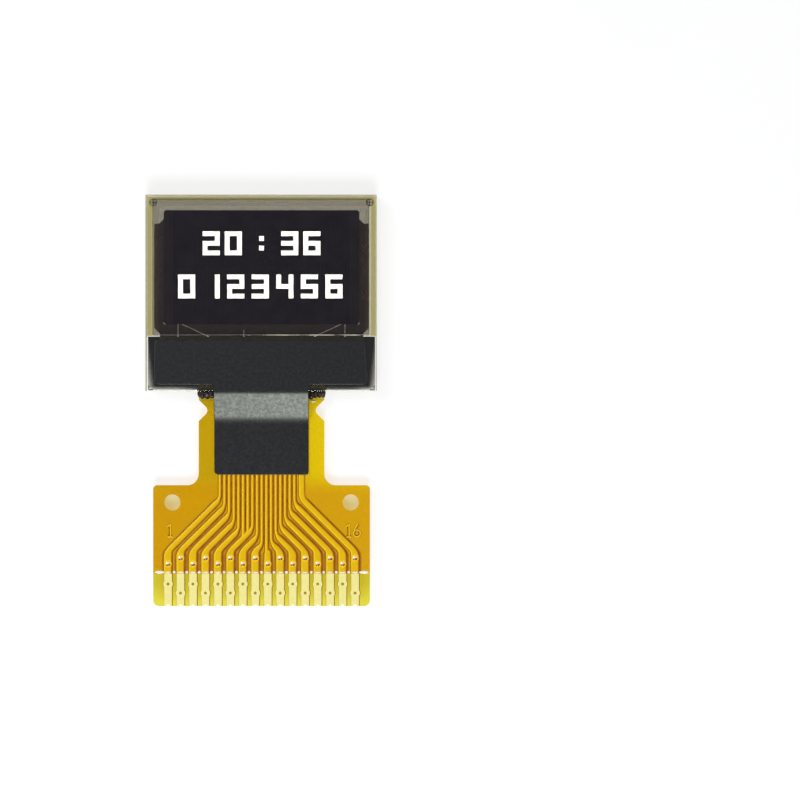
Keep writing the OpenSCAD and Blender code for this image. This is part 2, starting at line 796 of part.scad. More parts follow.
module rear_copper(grow = 0) {
    for (i = [0 : pads - 1]) translate([pad_x(i), bottom_y]) {
        translate([-finger_w / 2 - grow, 0]) square([finger_w + 2 * grow, finger_len - finger_w / 2]);
        translate([0, finger_len - finger_w / 2]) circle(finger_w / 2 + grow);
    }
    via_places() circle(via_land_d / 2 + grow);
    ear_places() circle(ear_d / 2 + grow);
}

// Plain numbers 1 and 16, standing on their foot
module figure_one() {
    translate([-number_line / 2, 0]) square([number_line, number_h]);
    translate([-number_foot / 2, 0]) square([number_foot, number_line]);
    leg(
        [0, number_h - number_line / 2], [-number_foot / 2, number_h - number_flag],
        number_line, number_line
    );
}

module figure_six() {
    r = number_h * BOWL_SHARE;
    difference() {
        union() {
            translate([0, r]) circle(r);
            leg([number_line / 2 - r, r], [r / 2, number_h], number_line, number_line);
        }
        translate([0, r]) circle(r - number_line);
    }
}

module numbers_outline() {
    translate([-number_x, bottom_y + number_rise]) figure_one();
    translate([number_x - number_step / 2, bottom_y + number_rise]) figure_one();
    translate([number_x + number_step / 2, bottom_y + number_rise]) figure_six();
}

module pin_numbers() {
    color([0.92, 0.70, 0.14]) sheet(base_top_z, copper_t) numbers_outline();
}

module flex_base_film() {
    color([0.80, 0.58, 0.08]) sheet(base_low_z, base_t) difference() {
        flex_outline();
        drills();
    }
}

module front_traces() {
    color([0.88, 0.68, 0.12]) sheet(base_top_z, copper_t) difference() {
        front_copper();
        drills();
        end_notches();
    }
}

module front_plating() {
    color([0.94, 0.91, 0.60]) sheet(bond_z, plating_t) difference() {
        intersection() {
            front_copper();
            translate([-tab_w, bottom_y]) square([2 * tab_w, pad_open]);
        }
        ear_places() circle(pad_hole_d / 2 - barrel_wall);
        end_notches();
    }
}

// A cover film lies on the base film and rises a little over the copper that it covers
module front_coverlay() {
    color([0.84, 0.62, 0.08]) difference() {
        union() {
            sheet(base_top_z, cover_t) flex_band(front_open_y, cover_top_y);
            sheet(base_top_z, cover_t + relief_t) intersection() {
                front_copper(relief_margin);
                translate([-tab_w, front_open_y]) square([2 * tab_w, cover_top_y - front_open_y]);
            }
        }
        sheet(base_top_z - slack, copper_t + slack) {
            front_copper();
            numbers_outline();
        }
    }
}

module rear_contacts() {
    color([0.98, 0.76, 0.10]) sheet(rear_copper_z, copper_t) difference() {
        rear_copper();
        drills();
        end_notches();
    }
}

module rear_plating() {
    color([0.98, 0.97, 0.84]) sheet(rear_copper_z - plating_t, plating_t) difference() {
        intersection() {
            rear_copper();
            translate([-tab_w, bottom_y]) square([2 * tab_w, finger_open]);
        }
        ear_places() circle(pad_hole_d / 2 - barrel_wall);
        end_notches();
    }
}

module rear_coverlay() {
    color([0.78, 0.55, 0.06]) difference() {
        union() {
            sheet(base_low_z - cover_t, cover_t) flex_band(rear_open_y, tab_top_y);
            sheet(base_low_z - cover_t - relief_t, cover_t + relief_t) intersection() {
                rear_copper(relief_margin);
                translate([-tab_w, rear_open_y]) square([2 * tab_w, tab_top_y - rear_open_y]);
            }
        }
        sheet(rear_copper_z, copper_t + slack) rear_copper();
    }
}

// Copper barrels line the drilled holes through the film and both coppers
module barrel(d) {
    h = bond_z - rear_copper_z;
    translate([0, 0, rear_copper_z]) difference() {
        cylinder(h = h, d = d);
        translate([0, 0, -1]) cylinder(h = h + 2, d = d - 2 * barrel_wall);
    }
}

module via_barrels() {
    color([0.85, 0.60, 0.30]) via_places() barrel(via_d);
}

module pad_barrels() {
    color([0.90, 0.80, 0.45]) ear_places() barrel(pad_hole_d);
}

// Beads of glue between the pads, and one beyond each end pad, along y at height z
module glue_beads(y, z) {
    gap = pad_pitch - pad_w;
    end_x = pad_x(pads - 1) + pad_pitch / 2 + end_bead_len / 2 - gap / 4;
    for (i = [0 : pads - 2]) bead(pad_x(i) + pad_pitch / 2, y, z, gap * BEAD_SHARE);
    for (s = [-1, 1]) bead(s * end_x, y, z, end_bead_len);
}

module bead(x, y, z, length) {
    translate([x - length / 2, y, z]) rotate([0, 90, 0]) cylinder(h = length, r = bead_r);
}

module front_glue_beads() {
    color([0.97, 0.96, 0.88]) glue_beads(front_open_y - bead_r, base_top_z + bead_r);
}

module rear_glue_beads() {
    color([0.97, 0.96, 0.88]) glue_beads(rear_open_y - bead_r, base_low_z - bead_r);
}

substrate_glass();
cap_glass();
polarizer();
sealant_frame();
getter_sheet();
anode_columns();
emitter_layer();
lit_pixels();
cathode_rows();
cathode_border();
separator_ridge();
routing_metal();
alignment_marks();
driver_chip();
chip_bond_film();
flex_bond_film();
chip_resin();
edge_glue();
shield_tape();
flex_base_film();
front_traces();
front_plating();
front_coverlay();
rear_contacts();
rear_plating();
rear_coverlay();
via_barrels();
pad_barrels();
pin_numbers();
front_glue_beads();
rear_glue_beads();
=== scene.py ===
"""Looks of a small OLED module: a glass display panel on a soldered flexible circuit.

The packed model is the frame: its nodes stay where they are and get their finishes here, and the
pieces whose shape needs more than the solids give are made here and stand for them.
Lengths are metres; a value times MM is in millimetres.
"""

import math
import random
from functools import cache

import bmesh
import bpy
from bpy.props import FloatProperty, FloatVectorProperty, PointerProperty
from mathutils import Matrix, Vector, noise


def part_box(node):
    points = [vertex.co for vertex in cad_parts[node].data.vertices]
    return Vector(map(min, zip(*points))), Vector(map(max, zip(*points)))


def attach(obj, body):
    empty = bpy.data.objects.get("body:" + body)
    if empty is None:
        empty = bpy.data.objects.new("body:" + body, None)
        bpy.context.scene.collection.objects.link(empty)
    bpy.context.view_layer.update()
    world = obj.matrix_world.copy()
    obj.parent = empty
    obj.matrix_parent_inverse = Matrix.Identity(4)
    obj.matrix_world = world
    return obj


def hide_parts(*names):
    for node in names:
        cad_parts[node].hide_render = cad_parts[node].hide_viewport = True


bl_info = {
    "name": "OLED module",
    "version": (1, 0, 0),
    "blender": (4, 5, 0),
    "location": "View3D > Sidebar > OLED module",
    "description": "Dresses the frame of a small OLED module with its finishes and fine pieces",
    "category": "Add Mesh",
}

MM = 0.001
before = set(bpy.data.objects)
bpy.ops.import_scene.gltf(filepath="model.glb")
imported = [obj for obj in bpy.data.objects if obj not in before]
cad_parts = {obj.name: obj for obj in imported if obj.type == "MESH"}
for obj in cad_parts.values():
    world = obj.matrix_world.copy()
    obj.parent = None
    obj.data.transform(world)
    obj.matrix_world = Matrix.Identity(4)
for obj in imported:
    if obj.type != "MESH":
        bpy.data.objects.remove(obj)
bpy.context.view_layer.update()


# Places that the frame gives -------------------------------------------------------------------


def node_box(name):
    """Lowest and highest corner of a node of the frame."""
    return tuple(Vector(corner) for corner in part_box(name))


PANEL_LOW, PANEL_HIGH = node_box("substrate_glass")
CAP_LOW, CAP_HIGH = node_box("cap_glass")
FILM_LOW, FILM_HIGH = node_box("emitter_layer")
CELLS_LOW, CELLS_HIGH = node_box("cathode_rows")
FLEX_LOW, FLEX_HIGH = node_box("flex_base_film")
COVER_LOW, COVER_HIGH = node_box("front_coverlay")
REAR_LOW, REAR_HIGH = node_box("rear_coverlay")
TAPE_LOW, TAPE_HIGH = node_box("shield_tape")
RESIN_LOW, RESIN_HIGH = node_box("chip_resin")
COPPER_LEVEL = node_box("front_traces")[0].z
GOLD_LEVEL = node_box("front_plating")[1].z
TAB_TOP_Y = REAR_HIGH.y
FRONT_OPEN_Y = COVER_LOW.y
REAR_OPEN_Y = REAR_LOW.y

# Sizes that the part's source gives and the frame's boxes don't show
COLUMNS, ROWS = 72, 40
CELL_HEIGHT = 0.125 * MM
COVER_LEVEL = 0.50 * MM
NECK_HALF = 6.55 / 2 * MM
TAB_CORNER = 0.2 * MM
SHOULDER = 0.6 * MM
WAIST_Y = PANEL_LOW.y - 1.0 * MM
WAIST_DEPTH = 0.45 * MM
WAIST_RADIUS = 0.26 * MM
HOLE_RADIUS = 0.425 * MM
HOLE_X = 4.65 * MM
HOLE_Y = TAB_TOP_Y - 0.9 * MM
TAPE_BAR_HEIGHT = 2.3 * MM
TAPE_TAIL_HALF = 2.46 * MM
TAPE_CORNER = 0.22 * MM
PADS = 16
PAD_PITCH = 0.65 * MM
PAD_WIDTH = 0.40 * MM
LEAD_PITCH = 0.243 * MM
LEAD_WIDTH = 0.135 * MM
SLANT_WIDTH = 0.28 * MM
SUPPLY_WIDTH = 0.30 * MM
SUPPLY_GAP = 0.16 * MM
LEAD_SHIFT = -0.215 * MM
MERGE_FIRST = 6
MERGE_COUNT = 3
NARROW_LEADS = PADS + MERGE_COUNT - 2
ARRIVAL_Y = FLEX_LOW.y + 2.85 * MM
VIA_ROWS = (FLEX_LOW.y + 2.20 * MM, FLEX_LOW.y + 2.50 * MM)
PAD_HOLE_ROWS = (FLEX_LOW.y + 1.15 * MM, FLEX_LOW.y + 0.68 * MM)
FINGER_WIDTH = 0.36 * MM
FINGER_LENGTH = 3.07 * MM
NUMBER_FOOT_Y = FLEX_LOW.y + 3.58 * MM
NUMBER_HEIGHT = 0.70 * MM

# Sizes of the looks alone
TILE_CORNER = 0.16
TILE_DEPTH = 0.8
TILE_TOP = 1.1
TAPE_RAMP = 1.78 * MM
TAPE_EDGE = 0.02 * MM
FLOOR_LEVEL = -0.01 * MM
BEAD_SEED = 11

# Small distances that keep surfaces apart, and those within which two places are the same
SEEN_APART = 0.001 * MM
RIDGE_CLEARANCE = 0.0012 * MM
MERGED_DEPTH = 0.0006 * MM
CROSSING_DEPTH = 0.0002 * MM
SAME_PLACE = 1e-7
SAME_LEVEL = 1e-9

WHITE = (1, 1, 1, 1)
BLACK = (0, 0, 0, 1)


def srgb(red, green, blue):
    """A linear colour with opacity 1 from its 0 to 255 display values."""

    def linear(value):
        share = value / 255
        return share / 12.92 if share <= 0.04045 else ((share + 0.055) / 1.055) ** 2.4

    return (linear(red), linear(green), linear(blue), 1.0)


def colour_property(name, description, red, green, blue):
    """A colour that a user can change, given by its display values."""
    shown = srgb(red, green, blue)
    return FloatVectorProperty(
        name=name,
        description=description,
        subtype="COLOR",
        size=4,
        min=0.0,
        max=1.0,
        default=shown,
    )


def length_property(name, description, millimetres):
    """A length that a user can change."""
    return FloatProperty(
        name=name,
        description=description,
        unit="LENGTH",
        subtype="DISTANCE",
        precision=6,
        default=millimetres * MM,
    )


# Settings --------------------------------------------------------------------------------------


class OledStageSettings(bpy.types.PropertyGroup):
    """Camera, lamps and floor."""

    camera_height: length_property("Camera Height", "Camera's height above the front glass", 90.0)
    camera_x: length_property("Camera X", "Camera's place across the module", 4.717)
    camera_y: length_property("Camera Y", "Camera's place along the module", -6.98)
    lens: FloatProperty(
        name="Lens",
        description="Focal length in millimetres",
        subtype="DISTANCE_CAMERA",
        default=78.13,
    )
    shift_x: FloatProperty(name="Shift X", description="Sideways shift of the picture", default=0.06)
    sky: FloatProperty(name="Sky", description="Strength of the even light", default=0.27)
    floor_width: length_property("Floor Width", "Width of the pale floor", 900.0)


class OledGlassSettings(bpy.types.PropertyGroup):
    """Glasses, polarizer and seal."""

    edge: colour_property("Glass Edge", "Tint of the glasses' ground edges", 178, 162, 84)
    polarizer: colour_property("Polarizer", "Colour of the polarizer film", 56, 52, 62)
    seal: colour_property("Seal", "Colour of the glue line between the glasses", 196, 182, 116)


class OledDisplaySettings(bpy.types.PropertyGroup):
    """Display films."""

    lit: colour_property("Lit Cells", "Colour of the light that the lit cells give", 255, 255, 255)
    lit_strength: FloatProperty(name="Lit Strength", description="Strength of it", default=6.0)
    cell_share: FloatProperty(
        name="Cell Share",
        description="Share of its cell that a lit tile fills",
        subtype="FACTOR",
        default=0.93,
    )
    film: colour_property("Film", "Colour of the dark display films", 36, 34, 42)


class OledCircuitSettings(bpy.types.PropertyGroup):
    """Flexible circuit."""

    cover: colour_property("Cover Film", "Colour of the cover films", 226, 168, 4)
    base: colour_property("Base Film", "Colour of the base film", 212, 194, 18)
    copper: colour_property("Copper", "Colour of the copper under the films", 226, 168, 40)
    gold: colour_property("Gold", "Colour of the gold finish", 252, 244, 158)
    ridge_height: length_property("Ridge Height", "Rise of the cover film over a lead", 0.018)


class OledDriverSettings(bpy.types.PropertyGroup):
    """Driver chip, resin and tape."""

    resin: colour_property("Resin", "Colour of the sealing resin", 14, 14, 15)
    tape: colour_property("Tape", "Colour of the shield tape", 13, 9, 20)


SETTINGS = {
    "oled_stage": OledStageSettings,
    "oled_glass": OledGlassSettings,
    "oled_display": OledDisplaySettings,
    "oled_circuit": OledCircuitSettings,
    "oled_driver": OledDriverSettings,
}


# Node trees ------------------------------------------------------------------------------------


class Tree:
    """Short ways to add, set and join the nodes of a node tree."""

    def __init__(self, tree):
        self.tree = tree

    def put(self, value, socket):
        """Joins a socket, or a node's first output, to this socket, or sets it to a plain value."""
        if isinstance(value, bpy.types.Node):
            value = value.outputs[0]
        if isinstance(value, bpy.types.NodeSocket):
            self.tree.links.new(value, socket)
        else:
            socket.default_value = value

    def node(self, kind, **values):
        """Adds a node and sets it.

        A key with a capital is a socket's name, where an underscore stands for a space. Any other
        key is one of the node's own traits, and those come first.
        """
        made = self.tree.nodes.new(kind)
        for key, value in values.items():
            if not key[0].isupper():
                setattr(made, key, value)
        for key, value in values.items():
            if key[0].isupper():
                self.put(value, made.inputs[key.replace("_", " ")])
        return made

    def feed(self, kind, *values, **traits):
        """Adds a node, sets its sockets in their order and returns its outputs."""
        made = self.node(kind, **traits)
        for socket, value in zip(made.inputs, values):
            self.put(value, socket)
        return made.outputs

    def math(self, operation, *values):
        return self.feed("ShaderNodeMath", *values, operation=operation)[0]

    def vector(self, operation, *values):
        return self.feed("ShaderNodeVectorMath", *values, operation=operation)

    def split(self, vector):
        """The sockets X, Y and Z of a vector."""
        return self.node("ShaderNodeSeparateXYZ", Vector=vector).outputs

    def mix(self, share, first, second):
        """A colour between two others."""
        made = self.node("ShaderNodeMix", data_type="RGBA")
        for index, value in ((0, share), (6, first), (7, second)):
            self.put(value, made.inputs[index])
        return made.outputs[2]

    def mix_shaders(self, share, first, second):
        return self.feed("ShaderNodeMixShader", share, first, second)[0]

    def spread(self, value, low, high, smooth=False):
        """A value's way from low to high, as 0 to 1."""
        steps = {"interpolation_type": "SMOOTHSTEP" if smooth else "LINEAR"}
        return self.feed("ShaderNodeMapRange", value, low, high, **steps)[0]

    def socket(self, key, way, kind, default=None):
        """Gives a group tree an input or an output of its own."""
        label = key.replace("_", " ")
        made = self.tree.interface.new_socket(label, in_out=way, socket_type="NodeSocket" + kind)
        if default is not None:
            made.default_value = default
        return made


class Group(Tree):
    """A shader node group; the kind of each input follows from its default."""

    def __init__(self, name, **inputs):
        super().__init__(bpy.data.node_groups.new(name, "ShaderNodeTree"))
        for key, default in inputs.items():
            kind = "Float" if isinstance(default, float) else {3: "Vector", 4: "Color"}[len(default)]
            self.socket(key, "INPUT", kind, default)
        self.inputs = self.node("NodeGroupInput").outputs
        self.place = self.node("ShaderNodeTexCoord").outputs["Object"]

    def noise(self, detail):
        values = {"Vector": self.place, "Scale": self.inputs["Scale"], "Detail": detail}
        return self.node("ShaderNodeTexNoise", **values).outputs["Fac"]

    def give(self, **outputs):
        """Ends the group in its outputs and returns its tree."""
        kinds = {"VALUE": "Float", "RGBA": "Color", "VECTOR": "Vector"}
        for key, value in outputs.items():
            self.socket(key, "OUTPUT", kinds[value.type])
        self.node("NodeGroupOutput", **outputs)
        return self.tree


class Nodes(Tree):
    """A Geometry Nodes tree with named inputs.

    The kind of each follows from its default; an object or a material has its kind instead.
    """

    def __init__(self, name, **inputs):
        super().__init__(bpy.data.node_groups.new(name, "GeometryNodeTree"))
        self.socket("Geometry", "INPUT", "Geometry")
        self.socket("Geometry", "OUTPUT", "Geometry")
        kinds = {int: "Int", float: "Float", tuple: "Vector"}
        self.identifiers = {}
        for key, default in inputs.items():
            if isinstance(default, str):
                made = self.socket(key, "INPUT", default)
            else:
                made = self.socket(key, "INPUT", kinds[type(default)], default)
            self.identifiers[key] = made.identifier
        self.inputs = self.node("NodeGroupInput").outputs

    def close(self, geometry):
        """Ends the tree in Realize Instances and Set Material."""
        whole = self.node("GeometryNodeRealizeInstances", Geometry=geometry)
        finish = self.inputs["Finish"]
        done = self.node("GeometryNodeSetMaterial", Geometry=whole, Material=finish)
        self.node("NodeGroupOutput", Geometry=done)
        return self

    def run(self, made, **values):
        """Puts the tree on an object with its inputs set, and makes the result a plain mesh."""
        modifier = made.modifiers.new(self.tree.name, "NODES")
        modifier.node_group = self.tree
        for key, value in values.items():
            modifier[self.identifiers[key]] = value
        graph = bpy.context.evaluated_depsgraph_get()
        result = bpy.data.meshes.new_from_object(made.evaluated_get(graph))
        made.modifiers.clear()
        made.data = result
        result.name = made.name


@cache
def mottle_group():
    """Slow changes of a colour over the surface."""
    first, second = (0.5, 0.5, 0.5, 1), (0.4, 0.4, 0.4, 1)
    made = Group("Mottle", Colour=first, Second_Colour=second, Scale=1000.0, Contrast=0.5)
    value = made.spread(made.noise(4.0), 0.35, 0.65)
    share = made.math("MULTIPLY", value, made.inputs["Contrast"])
    colour = made.mix(share, made.inputs["Colour"], made.inputs["Second Colour"])
    return made.give(Colour=colour, Value=value)


@cache
def grain_group():
    """Fine relief, as a normal."""
    made = Group("Fine Grain", Scale=20000.0, Depth=0.002 * MM)
    bump = made.node("ShaderNodeBump", Height=made.noise(3.0), Distance=made.inputs["Depth"])
    return made.give(Normal=bump.outputs["Normal"])


@cache
def speck_group():
    """A mask of small scattered specks."""
    made = Group("Specks", Scale=4000.0, Size=0.16, Share=0.3)
    inputs = made.inputs
    cells = made.node("ShaderNodeTexVoronoi", Vector=made.place, Scale=inputs["Scale"]).outputs
    chance = made.feed("ShaderNodeSeparateColor", cells["Color"])[0]
    small = made.math("LESS_THAN", cells["Distance"], inputs["Size"])
    chosen = made.math("LESS_THAN", chance, inputs["Share"])
    return made.give(Mask=made.math("MULTIPLY", small, chosen))


@cache
def border_group():
    """A mask that rises from 0 to 1 towards the borders of an upright rectangle."""
    sides = {"Half_Width": 6.0 * MM, "Low": -6.0 * MM, "High": 4.0 * MM, "Slant": 0.0}
    made = Group("Border", **sides, Start=0.5 * MM, Full=0.1 * MM)
    inputs, place = made.inputs, made.split(made.place)
    below = made.math("SUBTRACT", inputs["High"], place["Y"])
    above = made.math("SUBTRACT", place["Y"], inputs["Low"])
    side = made.math("SUBTRACT", inputs["Half Width"], made.math("ABSOLUTE", place["X"]))
    side = made.math("SUBTRACT", side, made.math("MULTIPLY", inputs["Slant"], below))
    inside = made.math("MINIMUM", side, made.math("MINIMUM", below, above))
    return made.give(Mask=made.spread(inside, inputs["Start"], inputs["Full"], smooth=True))


@cache
def sweep_group():
    """A value that goes softly from 0 to 1 along a direction."""
    made = Group("Sweep", Direction=(0, 1, 0), From=0.0, To=1.0 * MM)
    along = made.vector("DOT_PRODUCT", made.place, made.inputs["Direction"])["Value"]
    return made.give(Value=made.spread(along, made.inputs["From"], made.inputs["To"], smooth=True))


# Finishes --------------------------------------------------------------------------------------


class Finish(Tree):
    """A material and short ways to build its shader."""

    def __init__(self, name):
        self.material = bpy.data.materials.new(name)
        self.material.use_nodes = True
        super().__init__(self.material.node_tree)
        self.shader = self.tree.nodes["Principled BSDF"]

    def set(self, **values):
        """Sets or joins the shader's own sockets; an underscore stands for a space."""
        for key, value in values.items():
            self.put(value, self.shader.inputs[key.replace("_", " ")])
        return self

    def show(self, surface):
        self.put(surface, self.tree.nodes["Material Output"].inputs["Surface"])
        return self

    def group(self, tree, **values):
        return self.node("ShaderNodeGroup", node_tree=tree, **values).outputs

    def mottle(self, **values):
        return self.group(mottle_group(), **values)

    def specks(self, scale, size, share):
        return self.group(speck_group(), Scale=scale, Size=size, Share=share)["Mask"]

    def border(self, half, low, high, start, full, slant=0.0):
        """The share by which a place is near the borders: 0 at start inside them and 1 at full."""
        sides = {"Half_Width": half, "Low": low, "High": high, "Slant": slant}
        return self.group(border_group(), **sides, Start=start, Full=full)["Mask"]

    def sweep(self, direction, start, end):
        return self.group(sweep_group(), Direction=direction, From=start, To=end)["Value"]

    def geometry(self, label):
        return self.node("ShaderNodeNewGeometry").outputs[label]

    def facing(self, up):
        """1 on the faces that look up, or on those that look down."""
        upright = self.split(self.geometry("Normal"))["Z"]
        return self.math("GREATER_THAN" if up else "LESS_THAN", upright, 0.5 if up else -0.5)

    def blend_base(self, share, colour):
        """Mixes a colour into the base colour that the finish has so far."""
        base = self.shader.inputs["Base Color"].links[0].from_socket
        return self.set(Base_Color=self.mix(share, base, colour))

    def front_only(self, alpha):
        """An opacity that counts once for a film, at the face where a ray enters it."""
        return self.math("MULTIPLY", self.math("SUBTRACT", 1.0, self.geometry("Backfacing")), alpha)

    def tinted_clear(self, tint):
        """A see-through shader that tints once, at the face where a ray enters."""
        colour = self.mix(self.geometry("Backfacing"), tint, WHITE)
        return self.node("ShaderNodeBsdfTransparent", Color=colour)


def solid_finish(
    name,
    colour,
    second,
    roughness,
    metallic=0.0,
    scale=1500.0,
    contrast=0.6,
    grain=20000.0,
    depth=1.0,
    uneven=0.2,
):
    """An opaque finish with slow colour changes and fine grain.

    The grain's depth is in micrometres, and uneven is the share by which the roughness varies.
    """
    made = Finish(name)
    mottle = made.mottle(Colour=colour, Second_Colour=second, Scale=scale, Contrast=contrast)
    spread = made.node(
        "ShaderNodeMapRange",
        Value=mottle["Value"],
        To_Min=roughness * (1 - uneven),
        To_Max=min(1.0, roughness * (1 + uneven)),
    )
    relief = made.group(grain_group(), Scale=grain, Depth=depth * 0.001 * MM)["Normal"]
    made.set(Base_Color=mottle["Colour"], Normal=relief, Roughness=spread, Metallic=metallic)
    return made


def coat(node, name, colour, second, roughness, **more):
    """Gives a node of the frame an opaque finish of its own."""
    made = solid_finish(name, colour, second, roughness, **more)
    paint(made, node)
    return made


def make_film(made, tint, body, tint_below=None, body_below=0.0):
    """Makes a finish see-through: tint colours what shows through and body is the share it hides.

    Both count once, at the face that a ray enters; a ray from below can have others.
    """
    if tint_below is not None:
        under = made.facing(False)
        tint = made.mix(under, tint, tint_below)
        body = made.math("ADD", body, made.math("MULTIPLY", under, body_below - body))
    clear = made.tinted_clear(tint)
    return made.show(made.mix_shaders(made.front_only(body), clear, made.shader))


def film_finish(name, tint, colour, second, roughness, body, **more):
    """A see-through film with slow colour changes and fine grain."""
    return make_film(solid_finish(name, colour, second, roughness, **more), tint, body)


def glass_finish(name, tint, edge, edge_body):
    """Clear glass: it mirrors by angle, tints a little through its faces and more at its edges."""
    made = Finish(name)
    upright = made.math("ABSOLUTE", made.split(made.geometry("Normal"))["Z"])
    side = made.math("LESS_THAN", upright, 0.95)
    mottle = made.mottle(Colour=edge, Second_Colour=tint, Scale=4000.0, Contrast=0.2)
    made.set(Base_Color=mottle["Colour"], Roughness=0.12)
    dust = made.math("MULTIPLY", made.specks(1800.0, 0.05, 0.35), 0.25)
    rim = made.border(PANEL_HIGH.x, WAIST_Y, PANEL_HIGH.y, 0.09 * MM, 0.0)
    dust = made.math("MAXIMUM", dust, made.math("MULTIPLY", rim, 0.14))
    body = made.math("MAXIMUM", made.math("MULTIPLY", side, edge_body), made.front_only(dust))
    glued = made.border(NECK_HALF + 0.02 * MM, WAIST_Y, PANEL_LOW.y + 0.2 * MM, 0.08 * MM, 0.0)
    body = made.math("MULTIPLY", body, glued)
    pane = made.mix_shaders(body, made.tinted_clear(tint), made.shader)
    mirror = made.node("ShaderNodeBsdfPrincipled", Base_Color=WHITE, Metallic=1.0, Roughness=0.04)
    fresnel = made.node("ShaderNodeFresnel", IOR=1.45).outputs[0]
    return made.show(made.mix_shaders(made.front_only(fresnel), pane, mirror))


# Mesh helpers ----------------------------------------------------------------------------------


def paint(finish, *nodes):
    """Gives nodes of the frame a finish."""
    for node in nodes:
        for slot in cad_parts[node].material_slots:
            slot.material = finish.material


def add_object(name, mesh, finish=None):
    made = bpy.data.objects.new(name, mesh)
    bpy.context.scene.collection.objects.link(made)
    if finish is not None:
        mesh.materials.append(finish.material)
    return made


def mesh_from(name, points, faces, smooth=False):
    """A mesh from points and faces."""
    mesh = bpy.data.meshes.new(name)
    mesh.from_pydata([tuple(p) for p in points], [], faces)
    for polygon in mesh.polygons:
        polygon.use_smooth = smooth
    mesh.update()
    return mesh


def hand_in(made, slot_name, *nodes):
    """Lets a finished piece ride on the module and hides the nodes it stands for; slot_name is not
    used.
    """
    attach(made, "root")
    if nodes:
        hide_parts(*nodes)


def piece(name, shapes, finish, slot_name, *nodes, smooth=False):
    """Makes one piece from (points, faces) shapes, lets it ride on the module and hides the nodes it
    stands for.
    """
    points, faces = [], []
    for more_points, more_faces in shapes:
        start = len(points)
        points += more_points
        faces += [tuple(start + n for n in face) for face in more_faces]
    mesh = mesh_from(name, points, faces, smooth)
    hand_in(add_object(name, mesh, finish), slot_name, *nodes)


def all_of(work):
    return work.verts[:] + work.edges[:] + work.faces[:]


def clamped(value):
    return min(1.0, max(0.0, value))


def arc(centre, radius, start, end, steps=8):
    """Points of an arc from one angle to another, in degrees."""
    angles = [math.radians(start + (end - start) * n / steps) for n in range(steps + 1)]
    x, y = centre
    return [Vector((x + radius * math.cos(a), y + radius * math.sin(a))) for a in angles]


def circle(centre, radius, steps):
    return arc(centre, radius, 0, 360, steps)[:-1]


def rectangle(x_ends, y_ends):
    """The corners between two ends across and two ends along."""
    (left, right), (low, high) = x_ends, y_ends
    return [Vector(corner) for corner in ((left, low), (right, low), (right, high), (left, high))]


def inset_loop(loop, distance):
    """A loop moved to its left by a distance, corner by corner."""
    moved = []
    for n, here in enumerate(loop):
        before = (here - loop[n - 1]).normalized()
        after = (loop[(n + 1) % len(loop)] - here).normalized()
        normal = Vector((-before.y - after.y, before.x + after.x))
        length = max(normal.length_squared / 2, 0.5)
        moved.append(here + normal * (distance / length))
    return moved


def turned(loop, anticlockwise):
    """The loop in the wanted direction, without points on top of each other."""
    clean = [p for n, p in enumerate(loop) if (p - loop[n - 1]).length > SAME_PLACE]
    area = sum(a.cross(b) for a, b in zip(clean, clean[1:] + clean[:1]))
    return clean if (area > 0) == anticlockwise else clean[::-1]


def triangles_over(loops, up):
    """Triangles over an outline with holes, as indices into its points."""
    work = bmesh.new()
    for loop in loops:
        corners = [work.verts.new((p.x, p.y, 0)) for p in loop]
        for n, corner in enumerate(corners):
            work.edges.new((corners[n - 1], corner))
    work.verts.index_update()
    bmesh.ops.triangle_fill(work, use_beauty=True, use_dissolve=False, edges=work.edges[:])
    faces = []
    for face in work.faces:
        face.normal_update()
        order = tuple(v.index for v in face.verts)
        faces.append(order if (face.normal.z > 0) == up else order[::-1])
    work.free()
    return faces


def plateau(outline, holes, low, high, edge):
    """Points and faces of a flat sheet with round upper edges; edge is the radius of those."""
    loops = [turned(outline, True)] + [turned(hole, False) for hole in holes]
    bend = 0.3 * edge
    steps = ((0.0, low), (0.0, high - edge), (bend, high - bend), (edge, high), (1.5 * edge, high))
    rings = [[inset_loop(loop, inset) for loop in loops] for inset, _ in steps]
    points, faces, starts = [], [], []
    for ring, (_, z) in zip(rings, steps):
        starts.append(len(points))
        points += [(p.x, p.y, z) for loop in ring for p in loop]
    for first, second in zip(starts, starts[1:]):
        at = 0
        for loop in loops:
            count = len(loop)
            for n in range(count):
                a, b = at + n, at + (n + 1) % count
                faces.append((first + a, first + b, second + b, second + a))
            at += count
    for start, ring, up in ((starts[0], rings[0], False), (starts[-1], rings[-1], True)):
        faces += [tuple(start + n for n in face) for face in triangles_over(ring, up)]
    return points, faces


def lump(centre, half, seed, detail=3):
    """Points and faces of an uneven drop."""
    work = bmesh.new()
    bmesh.ops.create_icosphere(work, subdivisions=detail, radius=1.0)
    at = Vector((seed * 7.3, seed * 3.1, seed * 5.7))
    points = []
    for v in work.verts:
        bulge = 1 + 0.28 * noise.noise(v.co * 1.6 + at) + 0.10 * noise.noise(v.co * 4.0 + at)
        points.append(tuple(c + h * n * min(bulge, 1.2) for c, h, n in zip(centre, half, v.co)))
    faces = [tuple(v.index for v in f.verts) for f in work.faces]
    work.free()
    return points, faces


def slope(t, start, end):
    """An even rise from 0 to 1 as t goes from 0 to 1; start and end are its soft shares."""
    t = clamped(t)
    steepness = 1 / (1 - (start + end) / 2)
    if t < start:
        return steepness * t * t / (2 * start)
    if t > 1 - end:
        return 1 - steepness * (1 - t) ** 2 / (2 * end)
    return steepness * (t - start / 2)


# Stage -----------------------------------------------------------------------------------------


